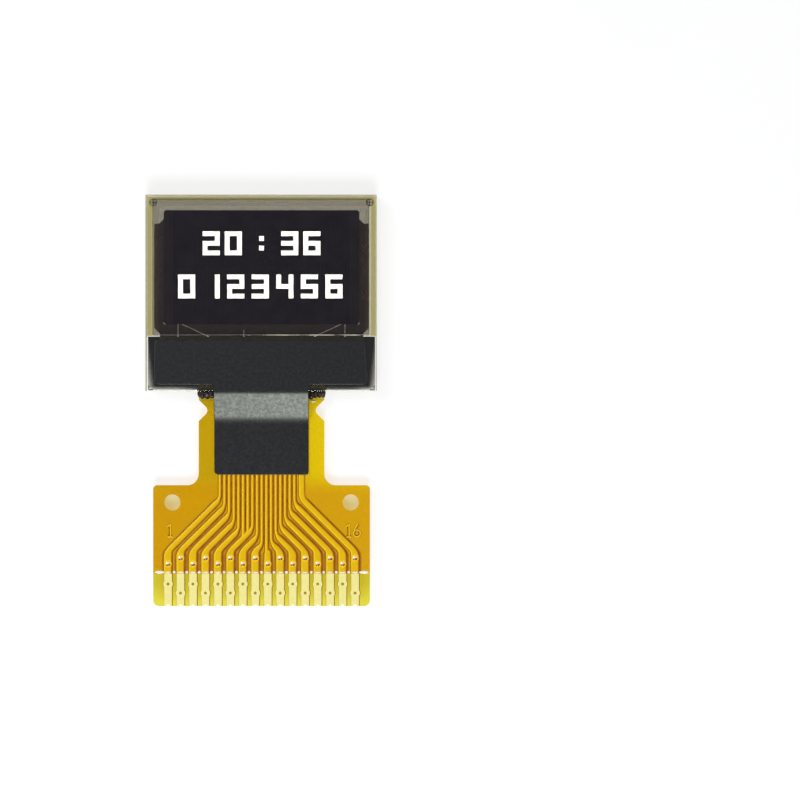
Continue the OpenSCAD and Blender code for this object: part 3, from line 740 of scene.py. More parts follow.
class OLED_OT_stage(bpy.types.Operator):
    """Sets up the camera, the lamps, the sky and the pale floor"""

    bl_idname = "oled.stage"
    bl_label = "Stage"

    def execute(self, context):
        settings = context.scene.oled_stage
        context.scene.view_settings.view_transform = "Standard"
        self.camera(context.scene, settings)
        self.lamps(context.scene)
        self.sky(context.scene, settings)
        self.floor(settings)
        return {"FINISHED"}

    def camera(self, scene, settings):
        data = bpy.data.cameras.new("Camera")
        data.lens = settings.lens
        data.sensor_width = 36.0
        data.shift_x = settings.shift_x
        data.clip_start = 0.001
        data.clip_end = 10.0
        camera = bpy.data.objects.new("Camera", data)
        height = PANEL_HIGH.z + settings.camera_height
        camera.location = (settings.camera_x, settings.camera_y, height)
        scene.collection.objects.link(camera)
        scene.camera = camera

    def lamps(self, scene):
        """Soft boxes, each with its direction, distance, size and power; they aim at the middle."""
        middle = Vector((0, (PANEL_HIGH.y + FLEX_LOW.y) / 2, PANEL_HIGH.z / 2))
        boxes = {
            "KeyBox": ((-0.62, 0.40, 0.70), 0.16, 0.08, 0.085),
            "LowBox": ((0.00, -0.70, 0.71), 0.16, 0.06, 0.145),
            "FillBox": ((0.80, 0.20, 0.60), 0.20, 0.10, 0.040),
            "UnderBox": ((-0.10, -0.42, -0.90), 0.20, 0.08, 0.320),
        }
        for name, (direction, distance, size, power) in boxes.items():
            direction = Vector(direction)
            data = bpy.data.lights.new(name, "AREA")
            data.size = size
            data.energy = power
            lamp = bpy.data.objects.new(name, data)
            lamp.location = middle + direction.normalized() * distance
            lamp.rotation_euler = direction.to_track_quat("Z", "Y").to_euler()
            scene.collection.objects.link(lamp)

    def sky(self, scene, settings):
        """Soft light from all sides, behind which the camera sees plain white."""
        scene.world = bpy.data.worlds.new("Sky")
        scene.world.use_nodes = True
        tree = Tree(scene.world.node_tree)
        tree.tree.nodes.clear()
        soft = tree.node("ShaderNodeBackground", Color=(0.96, 0.98, 1.0, 1), Strength=settings.sky)
        white = tree.node("ShaderNodeBackground", Color=WHITE)
        seen = tree.node("ShaderNodeLightPath").outputs["Is Camera Ray"]
        tree.node("ShaderNodeOutputWorld", Surface=tree.mix_shaders(seen, soft, white))

    def floor(self, settings):
        """Seen from above it is white and keeps the shadow, with a painted amber shadow in its glow
        under the tab; from below it is clear.
        """
        made = Finish("PaleFloor")
        path = made.node("ShaderNodeLightPath").outputs
        seen = made.math("MAXIMUM", path["Is Glossy Ray"], path["Is Transmission Ray"])
        seen = made.math("MAXIMUM", path["Is Camera Ray"], seen)
        pale, paler = (0.87, 0.87, 0.87, 1), (0.90, 0.90, 0.90, 1)
        grain = made.mottle(Colour=paler, Second_Colour=pale, Scale=60.0)
        # painted shadow: the floor's glow under the tab is tinted amber, for the light that the film
        # lets through
        tab_shadow = made.border(FLEX_HIGH.x, FLEX_LOW.y, TAB_TOP_Y, 0.42 * MM, 0.20 * MM)
        tone = made.mix(tab_shadow, (0.62, 0.53, 0.16, 1), WHITE)
        dull = made.node("ShaderNodeBsdfDiffuse", Color=grain["Colour"])
        glow = made.node("ShaderNodeEmission", Color=tone, Strength=1.26)
        surface = made.mix_shaders(0.5, dull, glow)
        clear = made.node("ShaderNodeBsdfTransparent")
        made.show(made.mix_shaders(made.front_only(seen), clear, surface))
        ends = (-settings.floor_width / 2, settings.floor_width / 2)
        corners = [(p.x, p.y, FLOOR_LEVEL) for p in rectangle(ends, ends)]
        add_object("PaleFloor", mesh_from("PaleFloor", corners, [(0, 1, 2, 3)]), made)


# Glasses ---------------------------------------------------------------------------------------


class OLED_OT_glass(bpy.types.Operator):
    """Finishes the two glasses, the polarizer and the seal between the glasses"""

    bl_idname = "oled.glass"
    bl_label = "Glasses and Polarizer"

    def execute(self, context):
        settings = context.scene.oled_glass
        clear = glass_finish("ClearGlass", (0.93, 0.95, 0.90, 1), settings.edge, 0.6)
        self.pane("substrate_pane", "substrate_glass", clear, 0.035 * MM, 0.03 * MM, SEEN_APART)
        paint(clear, "cap_glass")
        film = self.polarizer(settings)
        self.pane("polarizer_sheet", "polarizer", film, 0.05 * MM, 0.08 * MM)
        paint(self.seal(settings), "sealant_frame")
        return {"FINISHED"}

    def polarizer(self, settings):
        """Dark film with a painted pale highlight on its lower cut edge, where it faces the low lamp,
        strongest at the right.
        """
        second = srgb(64, 61, 70)
        made = solid_finish("PolarizerFilm", settings.polarizer, second, 0.3, grain=30000.0, depth=0.4)
        lean = made.vector("DOT_PRODUCT", made.geometry("Normal"), (0.25, -1.0, 0.0))["Value"]
        right = made.sweep((1, 0, 0), -1.5 * MM, 3.0 * MM)
        patches = made.mottle(Scale=1500.0, Contrast=1.0)["Value"]
        shown = made.math("ADD", 0.08, made.math("MULTIPLY", right, 0.45))
        shown = made.math("MULTIPLY", shown, patches)
        # painted highlight: pale colour and more body on the edge faces that look down towards the low
        # lamp, growing to the right and in patches
        edge_highlight = made.math("MULTIPLY", made.math("GREATER_THAN", lean, 0.2), shown)
        highlight_share = made.math("MINIMUM", made.math("MULTIPLY", edge_highlight, 3.0), 1.0)
        made.blend_base(highlight_share, srgb(226, 216, 186))
        body = made.math("ADD", 0.3, made.math("MULTIPLY", edge_highlight, 0.7))
        return make_film(made, (0.57, 0.52, 0.44, 1), body)

    def seal(self, settings):
        """Glue line: pale under the polarizer and yellower outside it."""
        made = solid_finish("SealGlue", settings.seal, srgb(206, 196, 140), 0.5, scale=900.0)
        low, high = CAP_LOW.y - 1.0 * MM, PANEL_HIGH.y + 0.10 * MM
        rim = made.border(PANEL_HIGH.x, low, high, 0.37 * MM, 0.24 * MM)
        tint = made.mix(rim, (0.97, 0.94, 0.88, 1), (0.72, 0.62, 0.28, 1))
        return make_film(made, tint, made.math("ADD", 0.06, made.math("MULTIPLY", rim, 0.30)))

    def pane(self, name, node, finish, edge, corner, gap=0.0):
        """A flat pane with a small bevel round both faces; gap lifts its lower face."""
        low, high = node_box(node)
        low.z += gap
        middle = (low.z + high.z) / 2
        outline = []
        corners = ((high.x, low.y, 270), (high.x, high.y, 0), (low.x, high.y, 90), (low.x, low.y, 180))
        for x, y, start in corners:
            centre = (x - math.copysign(corner, x), y + (corner if y == low.y else -corner))
            outline += arc(centre, corner, start, start + 90, 4)
        mesh = mesh_from(name, *plateau(outline, [], middle, high.z, edge))
        work = bmesh.new()
        work.from_mesh(mesh)
        waist = [f for f in work.faces if all(abs(v.co.z - middle) < SAME_LEVEL for v in f.verts)]
        bmesh.ops.delete(work, geom=waist, context="FACES")
        copy = bmesh.ops.duplicate(work, geom=all_of(work))["geom"]
        for v in copy:
            if isinstance(v, bmesh.types.BMVert):
                v.co.z = low.z + high.z - v.co.z
        faces = [f for f in copy if isinstance(f, bmesh.types.BMFace)]
        bmesh.ops.reverse_faces(work, faces=faces)
        bmesh.ops.remove_doubles(work, verts=work.verts, dist=1e-8)
        work.to_mesh(mesh)
        work.free()
        hand_in(add_object(name, mesh, finish), node, node)


# Display films ---------------------------------------------------------------------------------


def lit_tile_nodes():
    """A grid of tiles, kept where the readout of the frame is lit."""
    tree = Nodes(
        "LitPixels",
        Readout="Object",
        Columns=COLUMNS,
        Rows=ROWS,
        Width=9.0 * MM,
        Height=5.0 * MM,
        Middle=(0.0, 0.0, 0.0),
        Tile=(0.1 * MM, 0.1 * MM, 0.01 * MM),
        Finish="Material",
    )
    inputs, size = tree.inputs, tree.split(tree.inputs["Tile"])
    spans = [
        tree.math("SUBTRACT", inputs[span], tree.math("DIVIDE", inputs[span], inputs[count]))
        for span, count in (("Width", "Columns"), ("Height", "Rows"))
    ]
    grid = tree.node(
        "GeometryNodeMeshGrid",
        Size_X=spans[0],
        Size_Y=spans[1],
        Vertices_X=inputs["Columns"],
        Vertices_Y=inputs["Rows"],
    )
    places = tree.node("GeometryNodeTransform", Geometry=grid, Translation=inputs["Middle"])
    readout = tree.node("GeometryNodeObjectInfo", Object=inputs["Readout"])
    cast = tree.node(
        "GeometryNodeRaycast",
        data_type="FLOAT",
        Target_Geometry=readout.outputs["Geometry"],
        Ray_Direction=(0, 0, -1),
        Ray_Length=1.0 * MM,
    )
    lit = tree.node("GeometryNodeMeshToPoints", Mesh=places, Selection=cast.outputs["Is Hit"])
    outline = tree.node("GeometryNodeCurvePrimitiveQuadrilateral", Width=size["X"], Height=size["Y"])
    corner = tree.math("MULTIPLY", size["X"], TILE_CORNER)
    rounded = tree.node("GeometryNodeFilletCurve", mode="POLY", Curve=outline, Count=2, Radius=corner)
    face = tree.node("GeometryNodeFillCurve", mode="NGONS", Curve=rounded)
    tile = tree.node("GeometryNodeExtrudeMesh", Mesh=face, Offset_Scale=size["Z"], Individual=False)
    return tree.close(tree.node("GeometryNodeInstanceOnPoints", Points=lit, Instance=tile))


class OLED_OT_display(bpy.types.Operator):
    """Finishes the display films and makes the lit cells"""

    bl_idname = "oled.display"
    bl_label = "Display Films"

    def execute(self, context):
        settings = context.scene.oled_display
        dark, anode_tint = settings.film, (0.85, 0.88, 0.9, 1)
        anode = film_finish("ClearAnode", anode_tint, dark, srgb(44, 42, 50), 0.3, 0.12, depth=0.2)
        paint(anode, "anode_columns")
        coat("emitter_layer", "EmitterFilm", dark, srgb(30, 29, 36), 0.35, depth=0.3)
        blue, grey = srgb(176, 192, 226), srgb(206, 200, 206)
        bands = {"scale": 260.0, "contrast": 0.9}
        coat("cathode_rows", "CathodeFilm", blue, grey, 0.35, depth=0.4, **bands)
        pale, blue = srgb(240, 240, 244), srgb(150, 172, 222)
        coat("cathode_border", "CathodeBorder", pale, blue, 0.35, scale=500.0, depth=0.4)
        cream, tan = srgb(250, 248, 242), srgb(206, 186, 160)
        coat("separator_ridge", "SeparatorRidge", cream, tan, 0.4, depth=0.4)
        grey, green = srgb(215, 218, 205), srgb(196, 200, 188)
        coat("getter_sheet", "GetterSheet", grey, green, 0.7, scale=4000.0, depth=3.0)
        self.lit_cells(settings)
        return {"FINISHED"}

    def lit_cells(self, settings):
        """Glowing tiles, only bright at their upper faces."""
        glow = Finish("LitPixel")
        blue = srgb(226, 236, 255)
        tone = glow.mottle(Colour=settings.lit, Second_Colour=blue, Scale=1200.0, Contrast=0.5)
        tinted = glow.mix(glow.facing(True), BLACK, tone["Colour"])
        glow.set(Emission_Color=tinted, Base_Color=tinted)
        glow.set(Emission_Strength=settings.lit_strength, Roughness=0.4)
        share = settings.cell_share
        width, height = CELLS_HIGH.x - CELLS_LOW.x, ROWS * CELL_HEIGHT
        low, high = node_box("lit_pixels")
        thick = (high.z - low.z) * TILE_DEPTH
        middle = (CELLS_LOW + CELLS_HIGH) / 2
        made = add_object("lit_pixels_tiles", bpy.data.meshes.new("lit_pixels_tiles"))
        lit_tile_nodes().run(
            made,
            Readout=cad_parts["lit_pixels"],
            Columns=COLUMNS,
            Rows=ROWS,
            Width=width,
            Height=height,
            Middle=(middle.x, middle.y, low.z + TILE_TOP * thick),
            Tile=(width / COLUMNS * share, height / ROWS * share, -thick),
            Finish=glow.material,
        )
        hand_in(made, "lit_pixels", "lit_pixels")


class OLED_OT_routing(bpy.types.Operator):
    """Finishes the metal on the substrate and its alignment marks"""

    bl_idname = "oled.routing"
    bl_label = "Routing Metal"

    def execute(self, context):
        first, second = srgb(76, 68, 50), srgb(60, 54, 44)
        metal = coat("routing_metal", "RoutingMetal", first, second, 0.35, scale=5000.0, depth=0.3)
        metal.blend_base(metal.facing(False), srgb(98, 106, 64))
        outer = metal.border(CAP_HIGH.x, PANEL_LOW.y, PANEL_HIGH.y, 0.72 * MM, 0.42 * MM)
        metal.blend_base(outer, srgb(118, 96, 76))
        self.insulating_film()
        dark, brown = srgb(40, 36, 28), srgb(58, 52, 40)
        coat("alignment_marks", "AlignmentMark", dark, brown, 0.4, metallic=0.2, depth=0.3)
        return {"FINISHED"}

    def insulating_film(self):
        """Brown film behind the slanting gaps at both sides of the display."""
        low, high = node_box("routing_metal")
        tint, first, second = (0.26, 0.20, 0.15, 1), srgb(74, 62, 50), srgb(60, 50, 42)
        brown = film_finish("InsulatingFilm", tint, first, second, 0.4, 0.35, depth=0.3)
        ends = (FILM_LOW.y + 0.3 * MM, FILM_HIGH.y - 0.7 * MM)
        bottom, top, edge = low.z - 0.002 * MM, low.z - 0.0006 * MM, 0.0004 * MM
        strips = []
        for side in (-1, 1):
            across = (side * (FILM_HIGH.x + 0.01 * MM), side * (high.x - 0.012 * MM))
            strips.append(plateau(rectangle(across, ends), [], bottom, top, edge))
        piece("insulating_film", strips, brown, "routing")


# Driver, resin and tape ------------------------------------------------------------------------


class OLED_OT_driver(bpy.types.Operator):
    """Finishes the driver chip, its bond films, the resin, the edge glue and the tape"""

    bl_idname = "oled.driver"
    bl_label = "Driver and Resin"

    def execute(self, context):
        settings = context.scene.oled_driver
        grey, blue = srgb(110, 112, 122), srgb(90, 92, 104)
        coat("driver_chip", "ChipSilicon", grey, blue, 0.25, metallic=0.5)
        tint, first, second = srgb(120, 92, 50), srgb(36, 28, 18), srgb(168, 128, 52)
        bond = film_finish("BondFilm", tint, first, second, 0.3, 0.85, scale=4500.0)
        paint(bond, "chip_bond_film", "flex_bond_film")
        self.resin(settings)
        self.edge_glue()
        self.tape(settings)
        return {"FINISHED"}

    def resin_finish(self, settings):
        """Dark resin that thins out towards the panel's sides and its foot."""
        made = solid_finish("SealingResin", settings.resin, srgb(17, 16, 16), 0.05, grain=5000.0)
        made.set(Specular_IOR_Level=0.7)
        far = 4.0 * MM
        beyond = (PANEL_HIGH.x, PANEL_LOW.y - far, CAP_LOW.y + 1.0 * MM)
        side = made.border(*beyond, 0.05 * MM, -0.70 * MM, slant=0.12)
        beyond = (PANEL_HIGH.x + far, PANEL_LOW.y, CAP_LOW.y + far)
        foot = made.border(*beyond, 0.30 * MM, -0.04 * MM)
        left = made.sweep((-1, 0, 0), 3.4 * MM, 4.5 * MM)
        right = made.sweep((1, 0, 0), 4.7 * MM, 5.6 * MM)
        outer = made.math("MULTIPLY", made.math("MAXIMUM", left, right), 0.55)
        thinned = made.math("MULTIPLY", foot, made.math("ADD", 0.2, outer))
        kept = made.math("SUBTRACT", 1.0, thinned)
        body = made.math("MULTIPLY", made.math("SUBTRACT", 1.0, side), kept)
        return make_film(made, (0.95, 0.90, 0.88, 1), body)

    def resin(self, settings):
        """A shallow pool over the ledge, domed over the chip, with a tongue behind the circuit."""
        chip_low, chip_high = node_box("driver_chip")
        chip_y = (chip_low.y + chip_high.y) / 2
        step, thinnest = 0.06 * MM, 0.002 * MM
        half = PANEL_HIGH.x - 0.02 * MM
        foot_y = PANEL_LOW.y + 0.02 * MM
        high, low = CAP_LOW.y - 0.005 * MM, RESIN_LOW.y + 0.02 * MM
        tongue_half, corner_radius, rim_width = 3.1 * MM, 0.3 * MM, 0.60 * MM
        dome_reach, dome_ramp = 1.02 * MM, 0.72 * MM
        pool_depth, dome_depth, wave_depth = 0.225 * MM, 0.165 * MM, 0.014 * MM
        top, under_circuit = RESIN_HIGH.z - 0.002 * MM, FLEX_LOW.z + 0.003 * MM
        circuit_half, circuit_top = NECK_HALF + 0.03 * MM, FLEX_HIGH.y + 0.03 * MM
        columns, rows = round(2 * half / step), round((high - low) / step)

        def depth(x, y):
            across, along = half - abs(x), y - foot_y
            ledge = min(across, along)
            if corner_radius > max(across, along):
                ledge = corner_radius - math.hypot(corner_radius - across, corner_radius - along)
            inside = max(ledge, min(tongue_half - abs(x), y - low))
            if inside <= 0:
                return 0.0
            rim = min(inside / rim_width, 1.0)
            away = math.hypot(max(abs(x) - chip_high.x, 0), y - chip_y)
            dome = slope((dome_reach - away) / dome_ramp, 0.2, 0.2)
            wave = noise.noise(Vector((x, y, 0)) * 900) * wave_depth
            return pool_depth * math.sqrt(rim * (2 - rim)) + dome_depth * dome + wave * rim

        points, faces, at = [], [], {}
        for j in range(rows + 1):
            for i in range(columns + 1):
                x, y = -half + 2 * half * i / columns, low + (high - low) * j / rows
                deep = depth(x, y)
                if deep <= 0:
                    continue
                ceiling = under_circuit if abs(x) < circuit_half and y < circuit_top else top
                at[i, j] = len(points)
                points += [(x, y, ceiling), (x, y, min(top - deep, ceiling - thinnest))]
        for i, j in at:
            corners = [at.get(key) for key in ((i, j), (i + 1, j), (i + 1, j + 1), (i, j + 1))]
            if None in corners:
                continue
            a, b, c, d = corners
            faces += [(a, b, c, d), (a + 1, d + 1, c + 1, b + 1)]
            neighbours = ((a, b, i, j - 1), (b, c, i + 1, j), (c, d, i, j + 1), (d, a, i - 1, j))
            for one, two, m, n in neighbours:
                if any((m + p, n + q) not in at for p in (0, 1) for q in (0, 1)):
                    faces.append((one, one + 1, two + 1, two))
        shapes = [(points, faces)]
        finish = self.resin_finish(settings)
        piece("sealing_resin", shapes, finish, "resin", "chip_resin", smooth=True)

    def edge_glue(self):
        """Lumpy glue in the corner of the glass's edge and the circuit, thin at its ends.

        Under the glass lies a thin bond of it, sprinkled with pale specks that are painted glints, and
        a few pale drops on it are painted highlights.
        """
        beads, bonds, drops = [], [], []
        count, wide = 28, NECK_HALF - 0.10 * MM
        for n in range(count):
            x = -wide + 2 * wide * (n + 0.5) / count
            reach = (0.20 + 0.10 * abs(noise.noise(Vector((n * 1.7, 0.3, 2.0))))) * MM
            tall = (0.20 + 0.12 * abs(noise.noise(Vector((n * 2.3, 5.3, 1.0))))) * MM
            middle = (x, PANEL_LOW.y - reach * 0.7, COVER_LEVEL + tall * 0.3)
            beads.append(lump(middle, (0.20 * MM, reach, tall), n + 1))
            spot = 0.5 + noise.noise(Vector((n * 3.1, 1.1, 4.0)))
            under = (x * 1.02, PANEL_LOW.y + (0.14 + 0.06 * spot) * MM, COVER_LEVEL + 0.007 * MM)
            size = ((0.19 + 0.04 * spot) * MM, 0.27 * MM, 0.008 * MM)
            bonds.append(lump(under, size, n + 50, 2))
        for side in (-1, 1):
            end_x, end_z = side * (NECK_HALF - 0.07 * MM), COVER_LEVEL + 0.02 * MM
            size = (0.13 * MM, 0.19 * MM, 0.06 * MM)
            beads.append(lump((end_x, PANEL_LOW.y - 0.14 * MM, end_z), size, 33 + side))
            end_x, end_z = side * (NECK_HALF - 0.05 * MM), COVER_LEVEL + 0.006 * MM
            size = (0.13 * MM, 0.32 * MM, 0.008 * MM)
            bonds.append(lump((end_x, PANEL_LOW.y + 0.12 * MM, end_z), size, 43 + side))
        # pale drops placed where highlights fall by the glass's edge: painted highlights
        glint_spots = ((3.13, -0.26, 0.05, 0.09), (2.68, -0.53, 0.14, 0.045), (-3.0, -0.20, 0.04, 0.03))
        for n, (x, y, across, along) in enumerate(glint_spots):
            at = (x * MM, PANEL_LOW.y + y * MM, COVER_LEVEL + 0.012 * MM)
            drops.append(lump(at, (across * MM, along * MM, 0.03 * MM), n + 70, 2))
        dark, amber = srgb(30, 24, 18), srgb(60, 45, 24)
        glue = solid_finish("EdgeGlue", dark, amber, 0.3, scale=5000.0, grain=7000.0, depth=0.8)
        glue.set(Specular_IOR_Level=0.35)
        piece("edge_glue_bead", beads, glue, "edge_glue", "edge_glue", smooth=True)
        bond = solid_finish("EdgeBond", srgb(84, 74, 46), srgb(44, 38, 26), 0.3, scale=6000.0)
        # pale specks on the bond are painted glints
        bond.blend_base(bond.specks(4200.0, 0.24, 0.14), srgb(238, 214, 140))
        piece("edge_bond_glue", bonds, bond, "edge_glue", smooth=True)
        white, pale = srgb(250, 248, 232), srgb(226, 214, 176)
        glint = solid_finish("GlueGlint", white, pale, 0.2, scale=6000.0)
        piece("edge_glue_drops", drops, glint, "edge_glue", smooth=True)

    def tape_finish(self, settings):
        """Dark sheen above; below, pale adhesive whose mottle paints the highlights of its creases."""
        weave = {"scale": 6500.0, "grain": 10000.0, "depth": 0.70, "uneven": 0.12}
        made = solid_finish("ShieldTape", settings.tape, srgb(22, 16, 30), 0.362, **weave)
        made.set(Specular_IOR_Level=0.73, Specular_Tint=(0.93, 1.0, 0.89, 1))
        # underside: the adhesive's pale colour, mottled with painted crease highlights
        first, second = srgb(118, 116, 96), srgb(206, 204, 184)
        adhesive_crease_highlights = made.mottle(Colour=first, Second_Colour=second, Scale=2600.0, Contrast=0.6)
        return made.blend_base(made.facing(False), adhesive_crease_highlights["Colour"])

    def tape(self, settings):
        """The T-shaped tape, laid from the glass down over its edge to the neck; a corner peels."""
        half, tail = TAPE_HIGH.x, TAPE_TAIL_HALF
        high, low, end = TAPE_HIGH.y, TAPE_HIGH.y - TAPE_BAR_HEIGHT, TAPE_LOW.y
        r, inner, small = TAPE_CORNER, 0.08 * MM, 0.16 * MM
        right = arc((tail - small, end + small), small, 270, 360, 5)
        right += arc((tail + inner, low - inner), inner, 180, 90, 4)
        right += arc((half - r, low + r), r, 270, 360, 6)
        right += arc((half - small - r, high - r), r, 10, 90, 5)
        left = arc((-half + r, high - r), r, 90, 180, 6) + arc((-half + r, low + r), r, 180, 270, 6)
        left += arc((-tail - inner, low - inner), inner, 90, 0, 4)
        left += arc((-tail + r, end + r), r, 180, 270, 5)
        name, thick = "shield_tape_sheet", TAPE_HIGH.z - PANEL_HIGH.z
        mesh = mesh_from(name, *plateau(right + left, [], 0.0, thick, TAPE_EDGE))
        work = bmesh.new()
        work.from_mesh(mesh)
        ramp_steps, tail_step, half_steps = 24, 0.12 * MM, 11
        along = [PANEL_LOW.y - TAPE_RAMP * n / ramp_steps for n in range(-2, ramp_steps + 3)]
        along += [end + tail_step * n for n in range(1, 14)]
        cuts = [((0, y, 0), (0, 1, 0)) for y in along]
        across = [n * tail / half_steps for n in range(1 - half_steps, half_steps)]
        cuts += [((x, 0, 0), (1, 0, 0)) for x in across]
        for place, normal in cuts:
            bmesh.ops.bisect_plane(work, geom=all_of(work), plane_co=place, plane_no=normal)
        bmesh.ops.triangulate(work, faces=[f for f in work.faces if len(f.verts) > 4])
        drop = PANEL_HIGH.z - COVER_HIGH.z
        peel_height, peel_width, peel_length = 0.09 * MM, 0.9, 0.35
        for v in work.verts:
            x, y = v.co.x, v.co.y
            v.co.z += PANEL_HIGH.z - drop * slope((PANEL_LOW.y - y) / TAPE_RAMP, 0.06, 0.28)
            away = math.hypot((x - tail) / peel_width, (y - end) / peel_length)
            peel = max(0.0, 1 - away / MM)
            wave = noise.noise(Vector((x, y, 0)) * 700) * 0.008 * MM
            loose = clamped((PANEL_LOW.y - y) / (0.2 * MM))
            v.co.z += peel_height * peel * peel + max(0.0, wave) * loose
        for f in work.faces:
            f.smooth = abs(f.normal.z) > 0.8
        work.to_mesh(mesh)
        work.free()
        hand_in(add_object(name, mesh, self.tape_finish(settings)), "tape", "shield_tape")


# Flexible circuit ------------------------------------------------------------------------------


def pad_x(number):
    return (number - (PADS - 1) / 2) * PAD_PITCH


def front_cover_outline():
    """The front cover film: the tab above the pads and the neck with its waist notches."""
    tab_half = (FLEX_HIGH.x - FLEX_LOW.x) / 2
    wall = WAIST_RADIUS * math.sqrt(0.5)
    mouth = WAIST_DEPTH - WAIST_RADIUS + wall
    waist_x = NECK_HALF - WAIST_DEPTH + WAIST_RADIUS
    right = [Vector((tab_half, FRONT_OPEN_Y))]
    right += arc((tab_half - TAB_CORNER, TAB_TOP_Y - TAB_CORNER), TAB_CORNER, 0, 90, 6)
    right += arc((NECK_HALF + SHOULDER, TAB_TOP_Y + SHOULDER), SHOULDER, 270, 180, 8)
    right += [Vector((NECK_HALF, WAIST_Y - wall - mouth))]
    right += arc((waist_x, WAIST_Y), WAIST_RADIUS, 225, 135, 8)
    right += [Vector((NECK_HALF - wall - mouth + (COVER_HIGH.y - WAIST_Y), COVER_HIGH.y))]
    return right + [Vector((-p.x, p.y)) for p in reversed(right)]


def rounded_path(corners, radius, steps=6):
    """Points along a path whose corners are made round."""
    points = [corners[0]]
    for before, here, after in zip(corners, corners[1:], corners[2:]):
        back, on = before - here, after - here
        if back.angle(on) > math.pi - 0.01:
            points.append(here)
            continue
        reach = min(radius, back.length * 0.45, on.length * 0.45)
        start, end = here + back.normalized() * reach, here + on.normalized() * reach
        for n in range(steps + 1):
            t = n / steps
            points.append(start * (1 - t) ** 2 + here * (2 * t * (1 - t)) + end * t**2)
    return points + [corners[-1]]


def lead_paths(top_y):
    """The leads' middle lines from top_y to the cover's edge, each with how wide it is where.

    Every point is (x, y, depth, half width, gap half on the left, gap half on the right).
    """
    first_x = LEAD_SHIFT - LEAD_PITCH * (NARROW_LEADS - 1) / 2
    leads = []
    for n in range(NARROW_LEADS):
        pad = n if n < MERGE_FIRST else max(MERGE_FIRST - 1, n - MERGE_COUNT + 1)
        leads.append((first_x + n * LEAD_PITCH, pad, LEAD_WIDTH / 2, SLANT_WIDTH / 2))
    supply_x = leads[-1][0] + LEAD_WIDTH / 2 + SUPPLY_GAP + SUPPLY_WIDTH / 2
    leads.append((supply_x, PADS - 1, SUPPLY_WIDTH / 2, SUPPLY_WIDTH / 2))
    slant_room, outer_gap = PAD_PITCH * math.sqrt(0.5) / 2, 0.05 * MM
    paths = []
    for n, (x, pad, narrow, slant) in enumerate(leads):
        end = Vector((pad_x(pad), ARRIVAL_Y))
        bend = Vector((x, ARRIVAL_Y + abs(end.x - x)))
        corners = [Vector((x, top_y)), bend, end, Vector((end.x, FRONT_OPEN_Y))]
        furthest = abs(end.x - x) == max(abs(end.x - at) for at, other, *_ in leads if other == pad)
        depth = 0.0 if furthest else MERGED_DEPTH
        points = []
        for p in rounded_path(corners if furthest else corners[:2], 0.28 * MM):
            slanting = clamped((bend.y + 0.05 * MM - p.y) / (0.3 * MM))
            arrived = clamped((end.y + 0.10 * MM - p.y) / (0.25 * MM))
            half = narrow + (slant - narrow) * slanting
            half += (PAD_WIDTH / 2 - half) * arrived
            room = LEAD_PITCH / 2 + (slant_room - LEAD_PITCH / 2) * slanting
            room += (PAD_PITCH / 2 - room) * arrived
            gap = max(room - half, 0.02 * MM)
            left = outer_gap if n == 0 else gap
            right = outer_gap if n == len(leads) - 1 else gap
            points.append((p.x, p.y, depth, half, left, right))
        paths.append(points)
    return paths


def finger_paths():
    """The round-ended rear fingers under their cover film, in the same form as the leads."""
    half, side = FINGER_WIDTH / 2, 0.05 * MM
    centre = FLEX_LOW.y + FINGER_LENGTH - half
    angles = [math.radians(angle) for angle in range(80, -1, -10)]
    rows = [(centre + half * math.sin(a), half * math.cos(a)) for a in angles]
    rows.append((REAR_OPEN_Y, half))
    return [[(pad_x(n), y, 0.0, wide, side, side) for y, wide in rows] for n in range(PADS)]


def number_paths():
    """The strokes of the pin numbers 1 and 16, in the same form as the leads."""
    foot, head = NUMBER_FOOT_Y, NUMBER_FOOT_Y + NUMBER_HEIGHT
    half, side = 0.045 * MM, 0.03 * MM
    strokes = []
    for x in (-4.76 * MM, 4.55 * MM):
        strokes.append([(x, foot), (x, head)])
        strokes.append([(x - 0.12 * MM, foot + half), (x + 0.12 * MM, foot + half)])
        strokes.append([(x, head - half), (x - 0.13 * MM, head - 0.16 * MM)])
    x = 4.97 * MM
    bowl = arc((x, foot + 0.21 * MM), 0.165 * MM, 120, 480, 22)
    strokes.append([(x + 0.07 * MM, head), (x - 0.1 * MM, foot + 0.42 * MM), *map(tuple, bowl)])
    return [
        [(x, y, n * CROSSING_DEPTH, half, side, side) for x, y in stroke]
        for n, stroke in enumerate(strokes)
    ]


def path_object(name, paths, level):
    """A mesh of path edges whose points carry their widths as attributes."""
    points, edges = [], []
    for path in paths:
        edges += [(len(points) + n, len(points) + n + 1) for n in range(len(path) - 1)]
        points += path
    mesh = bpy.data.meshes.new(name)
    mesh.from_pydata([(p[0], p[1], level - p[2]) for p in points], edges, [])
    for n, label in enumerate(("half", "left_gap", "right_gap")):
        values = mesh.attributes.new(label, "FLOAT", "POINT")
        values.data.foreach_set("value", [p[3 + n] for p in points])
    return add_object(name, mesh)


